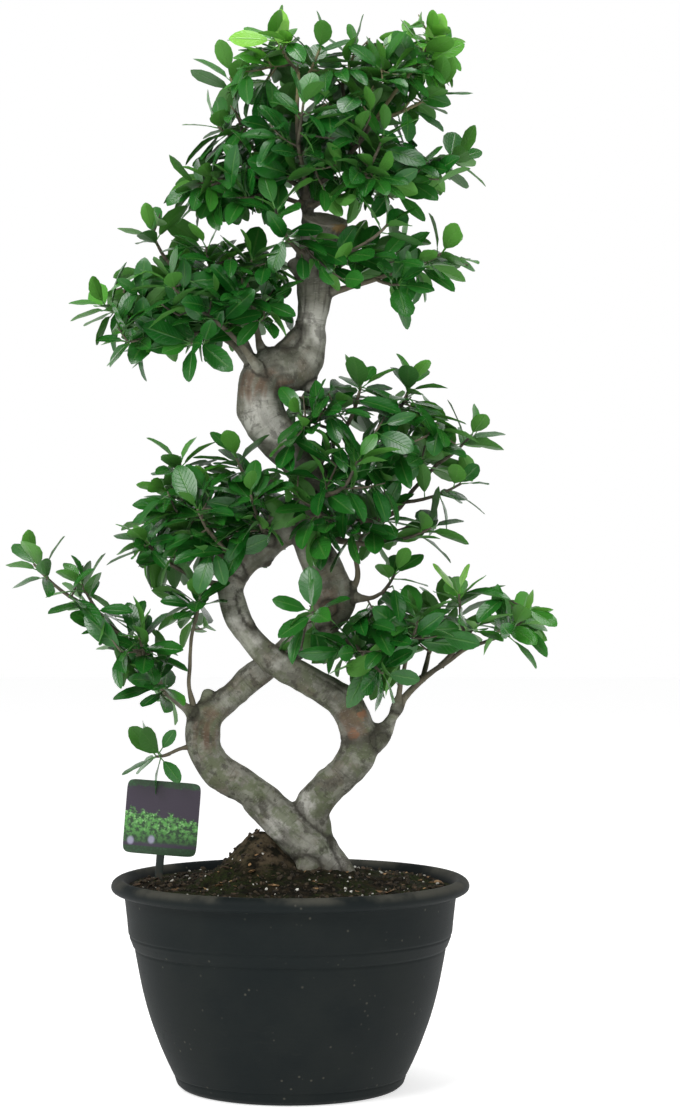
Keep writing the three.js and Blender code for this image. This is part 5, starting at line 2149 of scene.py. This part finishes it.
@dataclass
class Studio:
    """A pale floor, soft light from all round with a gentle key from the upper left, and the camera.

    Lamps are (name, place in metres, size, power).
    """

    lens: float = 88.7
    sides: float = 1.0
    above: float = 0.35
    floor_level: float = -0.6
    floor_reach: float = 9000.0
    aim: Spot = (0.0, 0.0, 0.55)
    lamps: tuple[tuple[str, Spot, float, float], ...] = (
        ("key", (-1.5, -2.3, 2.5), 1.4, 60.0), ("fill", (2.2, -1.8, 1.3), 2.0, 8.0),
        ("top", (0.3, 0.2, 3.0), 1.4, 30.0),
    )

    def floor(self) -> None:
        """A flat grid under the pot."""
        side = np.linspace(-self.floor_reach, self.floor_reach, 5)
        x, y = np.meshgrid(side, side)
        points = np.stack([x, y, np.full_like(x, self.floor_level)], -1).reshape(-1, 3)
        here = (np.arange(4)[:, None] * 5 + np.arange(4)).ravel()
        squares = np.stack([here, here + 1, here + 6, here + 5], -1)
        mesh = bpy.data.meshes.new("floor")
        mesh.from_pydata((points * MM).tolist(), [], squares.tolist())
        mesh.materials.append(StudioFloor().make())
        piece = bpy.data.objects.new("floor", mesh)
        bpy.context.scene.collection.objects.link(piece)

    def lamp(self, name: str, place: Spot, size: float, power: float) -> None:
        """Hangs a square lamp that faces the middle of the tree.

        Args:
            name: its name.
            place: where it hangs, in metres.
            size: its side.
            power: its power.
        """
        light = bpy.data.lights.new(name, "AREA")
        light.size, light.energy = size, power
        lamp = bpy.data.objects.new(name, light)
        lamp.location = place
        aim = mathutils.Vector(self.aim) - lamp.location
        lamp.rotation_euler = aim.to_track_quat("-Z", "Y").to_euler()
        bpy.context.scene.collection.objects.link(lamp)

    def build(self) -> None:
        """Makes the sky, which is darker overhead, the lamps, the floor and the camera."""
        scene = bpy.context.scene
        sky = Shade("studio", sky=True)
        glow = sky.axis(sky.node("ShaderNodeTexCoord"), 2).step(0.22, 0.5, self.sides, self.above)
        ground = sky.node("ShaderNodeBackground", None, {"Color": (1.0, 1.0, 1.0), "Strength": glow})
        sky.node("ShaderNodeOutputWorld", None, {"Surface": ground})
        scene.world = sky.material
        scene.view_settings.view_transform = "Standard"
        for lamp in self.lamps:
            self.lamp(*lamp)
        self.floor()
        camera = bpy.data.cameras.new("camera")
        camera.lens, camera.sensor_width, camera.sensor_fit = self.lens, 36.0, "AUTO"
        eye = bpy.data.objects.new("camera", camera)
        eye.location = [value * MM for value in EYE]
        eye.rotation_euler = (math.pi / 2, 0.0, 0.0)
        scene.collection.objects.link(eye)
        scene.camera = eye


GRAINS = (
    Grains("soil_crumbs", 1000, 1.6, 6.5, (1, 0.85, 0.7), 0.25, 5,
           Grit("crumb", (0.055, 0.039, 0.021), (0.014, 0.011, 0.006), 0.95)),
    Grains("perlite", 130, 1.4, 4.2, (1, 0.9, 0.85), 0.3, 6,
           Grit("perlite", (0.72, 0.71, 0.65), (0.42, 0.4, 0.34), 0.8)),
    Grains("bark_chips", 80, 4.0, 14.0, (1, 0.52, 0.16), 0.15, 7,
           Grit("chip", (0.36, 0.215, 0.095), (0.15, 0.08, 0.034), 0.8)),
    Grains("brown_chips", 220, 3.0, 12.0, (1, 0.42, 0.18), 0.2, 8,
           Grit("brown_chip", (0.09, 0.056, 0.031), (0.034, 0.021, 0.012), 0.9)),
)

PADS = (
    Pad("crown", 90, (
        (-63, 1049), (-13, 1068), (13, 1047), (39, 1028), (56, 1038), (80, 1059), (102, 1038), (105, 1069),
        (147, 1077), (165, 1058), (167, 1038), (160, 1021), (163, 1002), (143, 980), (121, 958),
        (169, 937), (195, 915), (169, 904), (150, 893), (126, 891), (93, 878), (65, 885), (33, 882),
        (13, 878), (-13, 878), (-48, 867), (-74, 865), (-117, 872), (-126, 882), (-108, 906), (-95, 924),
        (-74, 941), (-74, 963), (-67, 984), (-54, 1002), (-56, 1028), (-35, 1036),
    ), -0.26),
    Pad("left_pad", 72, (
        (-163, 882), (-139, 878), (-104, 865), (-85, 856), (-98, 841), (-61, 843), (-30, 835), (-4, 828),
        (9, 806), (-6, 780), (-2, 754), (-30, 750), (-48, 741), (-74, 737), (-91, 720), (-95, 737),
        (-117, 733), (-134, 737), (-156, 726), (-186, 733), (-189, 748), (-184, 763), (-219, 780),
        (-189, 785), (-180, 800), (-152, 802), (-152, 824), (-117, 839), (-119, 854), (-143, 869),
    ), -0.34),
    Pad("right_pad", 68, (
        (-26, 874), (-4, 863), (13, 867), (48, 850), (74, 859), (76, 872), (100, 854), (126, 850),
        (145, 835), (187, 824), (169, 806), (143, 800), (126, 785), (108, 789), (87, 796), (65, 783),
        (43, 793), (30, 798), (28, 815), (-9, 828), (-6, 845),
    ), -0.34),
    Pad("middle_right", 76, (
        (48, 713), (69, 712), (78, 698), (102, 707), (126, 692), (145, 666), (139, 683), (163, 657),
        (213, 646), (191, 638), (160, 629), (184, 615), (156, 620), (143, 607), (191, 592), (187, 573),
        (160, 580), (126, 588), (152, 564), (152, 544), (126, 551), (95, 527), (78, 525), (56, 534),
        (43, 514), (26, 521), (26, 538), (9, 560), (-9, 573), (13, 586), (30, 616), (9, 620), (-9, 651),
        (-4, 664), (-9, 694),
    ), -0.14),
    Pad("middle_left", 70, (
        (-150, 603), (-119, 629), (-104, 633), (-76, 638), (-87, 616), (-65, 612), (-41, 643), (-35, 620),
        (-13, 605), (-4, 590), (-2, 551), (-22, 534), (-41, 521), (-48, 503), (-40, 488), (-74, 495),
        (-67, 458), (-100, 451), (-117, 438), (-124, 451), (-108, 477), (-139, 499), (-126, 508),
        (-134, 521), (-165, 531), (-156, 555), (-165, 568), (-139, 579),
    ), -0.62),
    Pad("left_spray", 52, (
        (-287, 534), (-275, 549), (-256, 542), (-238, 534), (-225, 554), (-217, 544), (-221, 525),
        (-186, 531), (-210, 495), (-186, 482), (-186, 464), (-165, 469), (-147, 490), (-143, 458),
        (-117, 438), (-113, 425), (-126, 416), (-104, 406), (-108, 397), (-130, 395), (-108, 382),
        (-113, 371), (-139, 384), (-186, 408), (-182, 423), (-206, 445), (-204, 458), (-230, 473),
        (-241, 486), (-238, 503), (-282, 508), (-243, 516),
    ), -0.42, size=1.16),
    Pad("right_spray", 60, (
        (-13, 434), (0, 469), (9, 475), (39, 460), (56, 482), (87, 482), (85, 516), (95, 521), (106, 508),
        (117, 520), (137, 508), (165, 512), (208, 492), (232, 495), (260, 469), (266, 455), (256, 438),
        (239, 469), (241, 416), (226, 438), (187, 438), (165, 425), (152, 408), (178, 403), (167, 384),
        (137, 395), (95, 416), (87, 390), (74, 382), (56, 390), (52, 408), (69, 416), (30, 416), (9, 434),
    ), -0.2, size=1.16),
    Pad("middle_right", 20, (
        (-12, 640), (-6, 662), (14, 668), (44, 655), (66, 622), (66, 574), (46, 528), (24, 515), (10, 545),
        (-20, 572), (-34, 596), (-22, 615),
    ), -1.0, -42.0),
    Pad("right_pad", 20, (
        (-26, 874), (0, 862), (20, 852), (52, 848), (74, 832), (70, 800), (40, 796), (20, 812), (-8, 828),
    ), -1.0, -44.0),
    Pad("crown", 22, (
        (-6, 912), (8, 884), (60, 876), (112, 886), (136, 908), (96, 936), (36, 940),
    ), -1.0, -64.0),
    Pad("middle_left", 20, ((-70, 560), (-48, 586), (-8, 584), (4, 556), (-14, 534), (-46, 524)), -1.0, -44),
    Pad("right_spray", 20, (
        (-18, 440), (2, 480), (34, 486), (66, 480), (98, 474), (96, 436), (72, 408), (40, 412), (8, 420),
    ), -1.0, -42.0),
)

# Single leaves: shoot, place of the stalk's start, way, face, length of the blade and how new it is.
SINGLES: tuple[tuple[str, Spot, Spot, Spot, float, float], ...] = (
    ("crown_01", (-15, -16, 1040), (-1.0, -0.16, 0.1), (0.1, -0.85, 0.5), 39, 1.0),
    ("crown_01", (-11, -20, 1029), (0.04, -0.3, 0.95), (0.1, -0.95, -0.3), 34, 1.0),
    ("right_pad_05", (8, -27, 833), (1.0, -0.25, 0.08), (0.0, -0.75, 0.65), 36, 0.1),
    ("right_pad_05", (-4, -40, 845), (-0.35, -0.2, -0.9), (-0.3, -0.9, 0.3), 34, 0.2),
    ("right_pad_05", (-5, -42, 848), (0.85, -0.45, 0.04), (0.1, -0.8, 0.6), 34, 0.05),
    ("right_pad_05", (11, -23, 830), (0.12, -0.5, -0.85), (0.2, -0.85, 0.5), 25, 0.15),
    ("right_pad_03", (44, -32, 820), (0.4, -0.4, 0.78), (-0.2, -0.8, 0.5), 34, 0.1),
    ("right_pad_03", (38, -28, 817), (0.75, -0.3, -0.5), (0.2, -0.8, 0.6), 34, 0.12),
    ("crown_05", (137, -15, 1024), (0.28, -0.24, 0.93), (-0.2, -0.95, -0.2), 38, 0.9),
    ("crown_05", (134, -18, 1018), (0.86, -0.2, 0.46), (-0.3, -0.9, 0.3), 36, 0.75),
    ("crown_05", (128, -20, 1010), (-0.52, -0.2, 0.8), (0.1, -1.0, 0.0), 39, 0.45),
    ("low_shoot", (-131, -10, 329), (0.66, -0.22, -0.72), (0.3, -0.9, 0.3), 27, 0.3),
    ("low_shoot", (-131, -10, 331), (0.52, -0.2, 0.82), (-0.2, -0.95, 0.1), 22, 0.3),
)

# Limbs that stay in sight, and the heights between which no leaf is put before them.
IN_SIGHT: tuple[tuple[str, float, float], ...] = (
    ("crown_left_upright", 934.0, 1012.0), ("crown_right", 930.0, 990.0), ("left_stem", 456.0, 486.0),
)


def main() -> None:
    """Builds the studio and every piece in turn."""
    logging.basicConfig(level=logging.INFO, format="%(name)s %(message)s")
    Studio().build()
    Pot().build()
    trunk = Trunk()
    trunk.build()
    Branches().build()
    soil = Soil()
    soil.build()
    for grains in GRAINS:
        grains.scatter(soil, trunk.wood)
    PlantLabel().build()
    foliage = Foliage()
    foliage.plan(trunk)
    foliage.build()


if __name__ == "__main__":
    main()
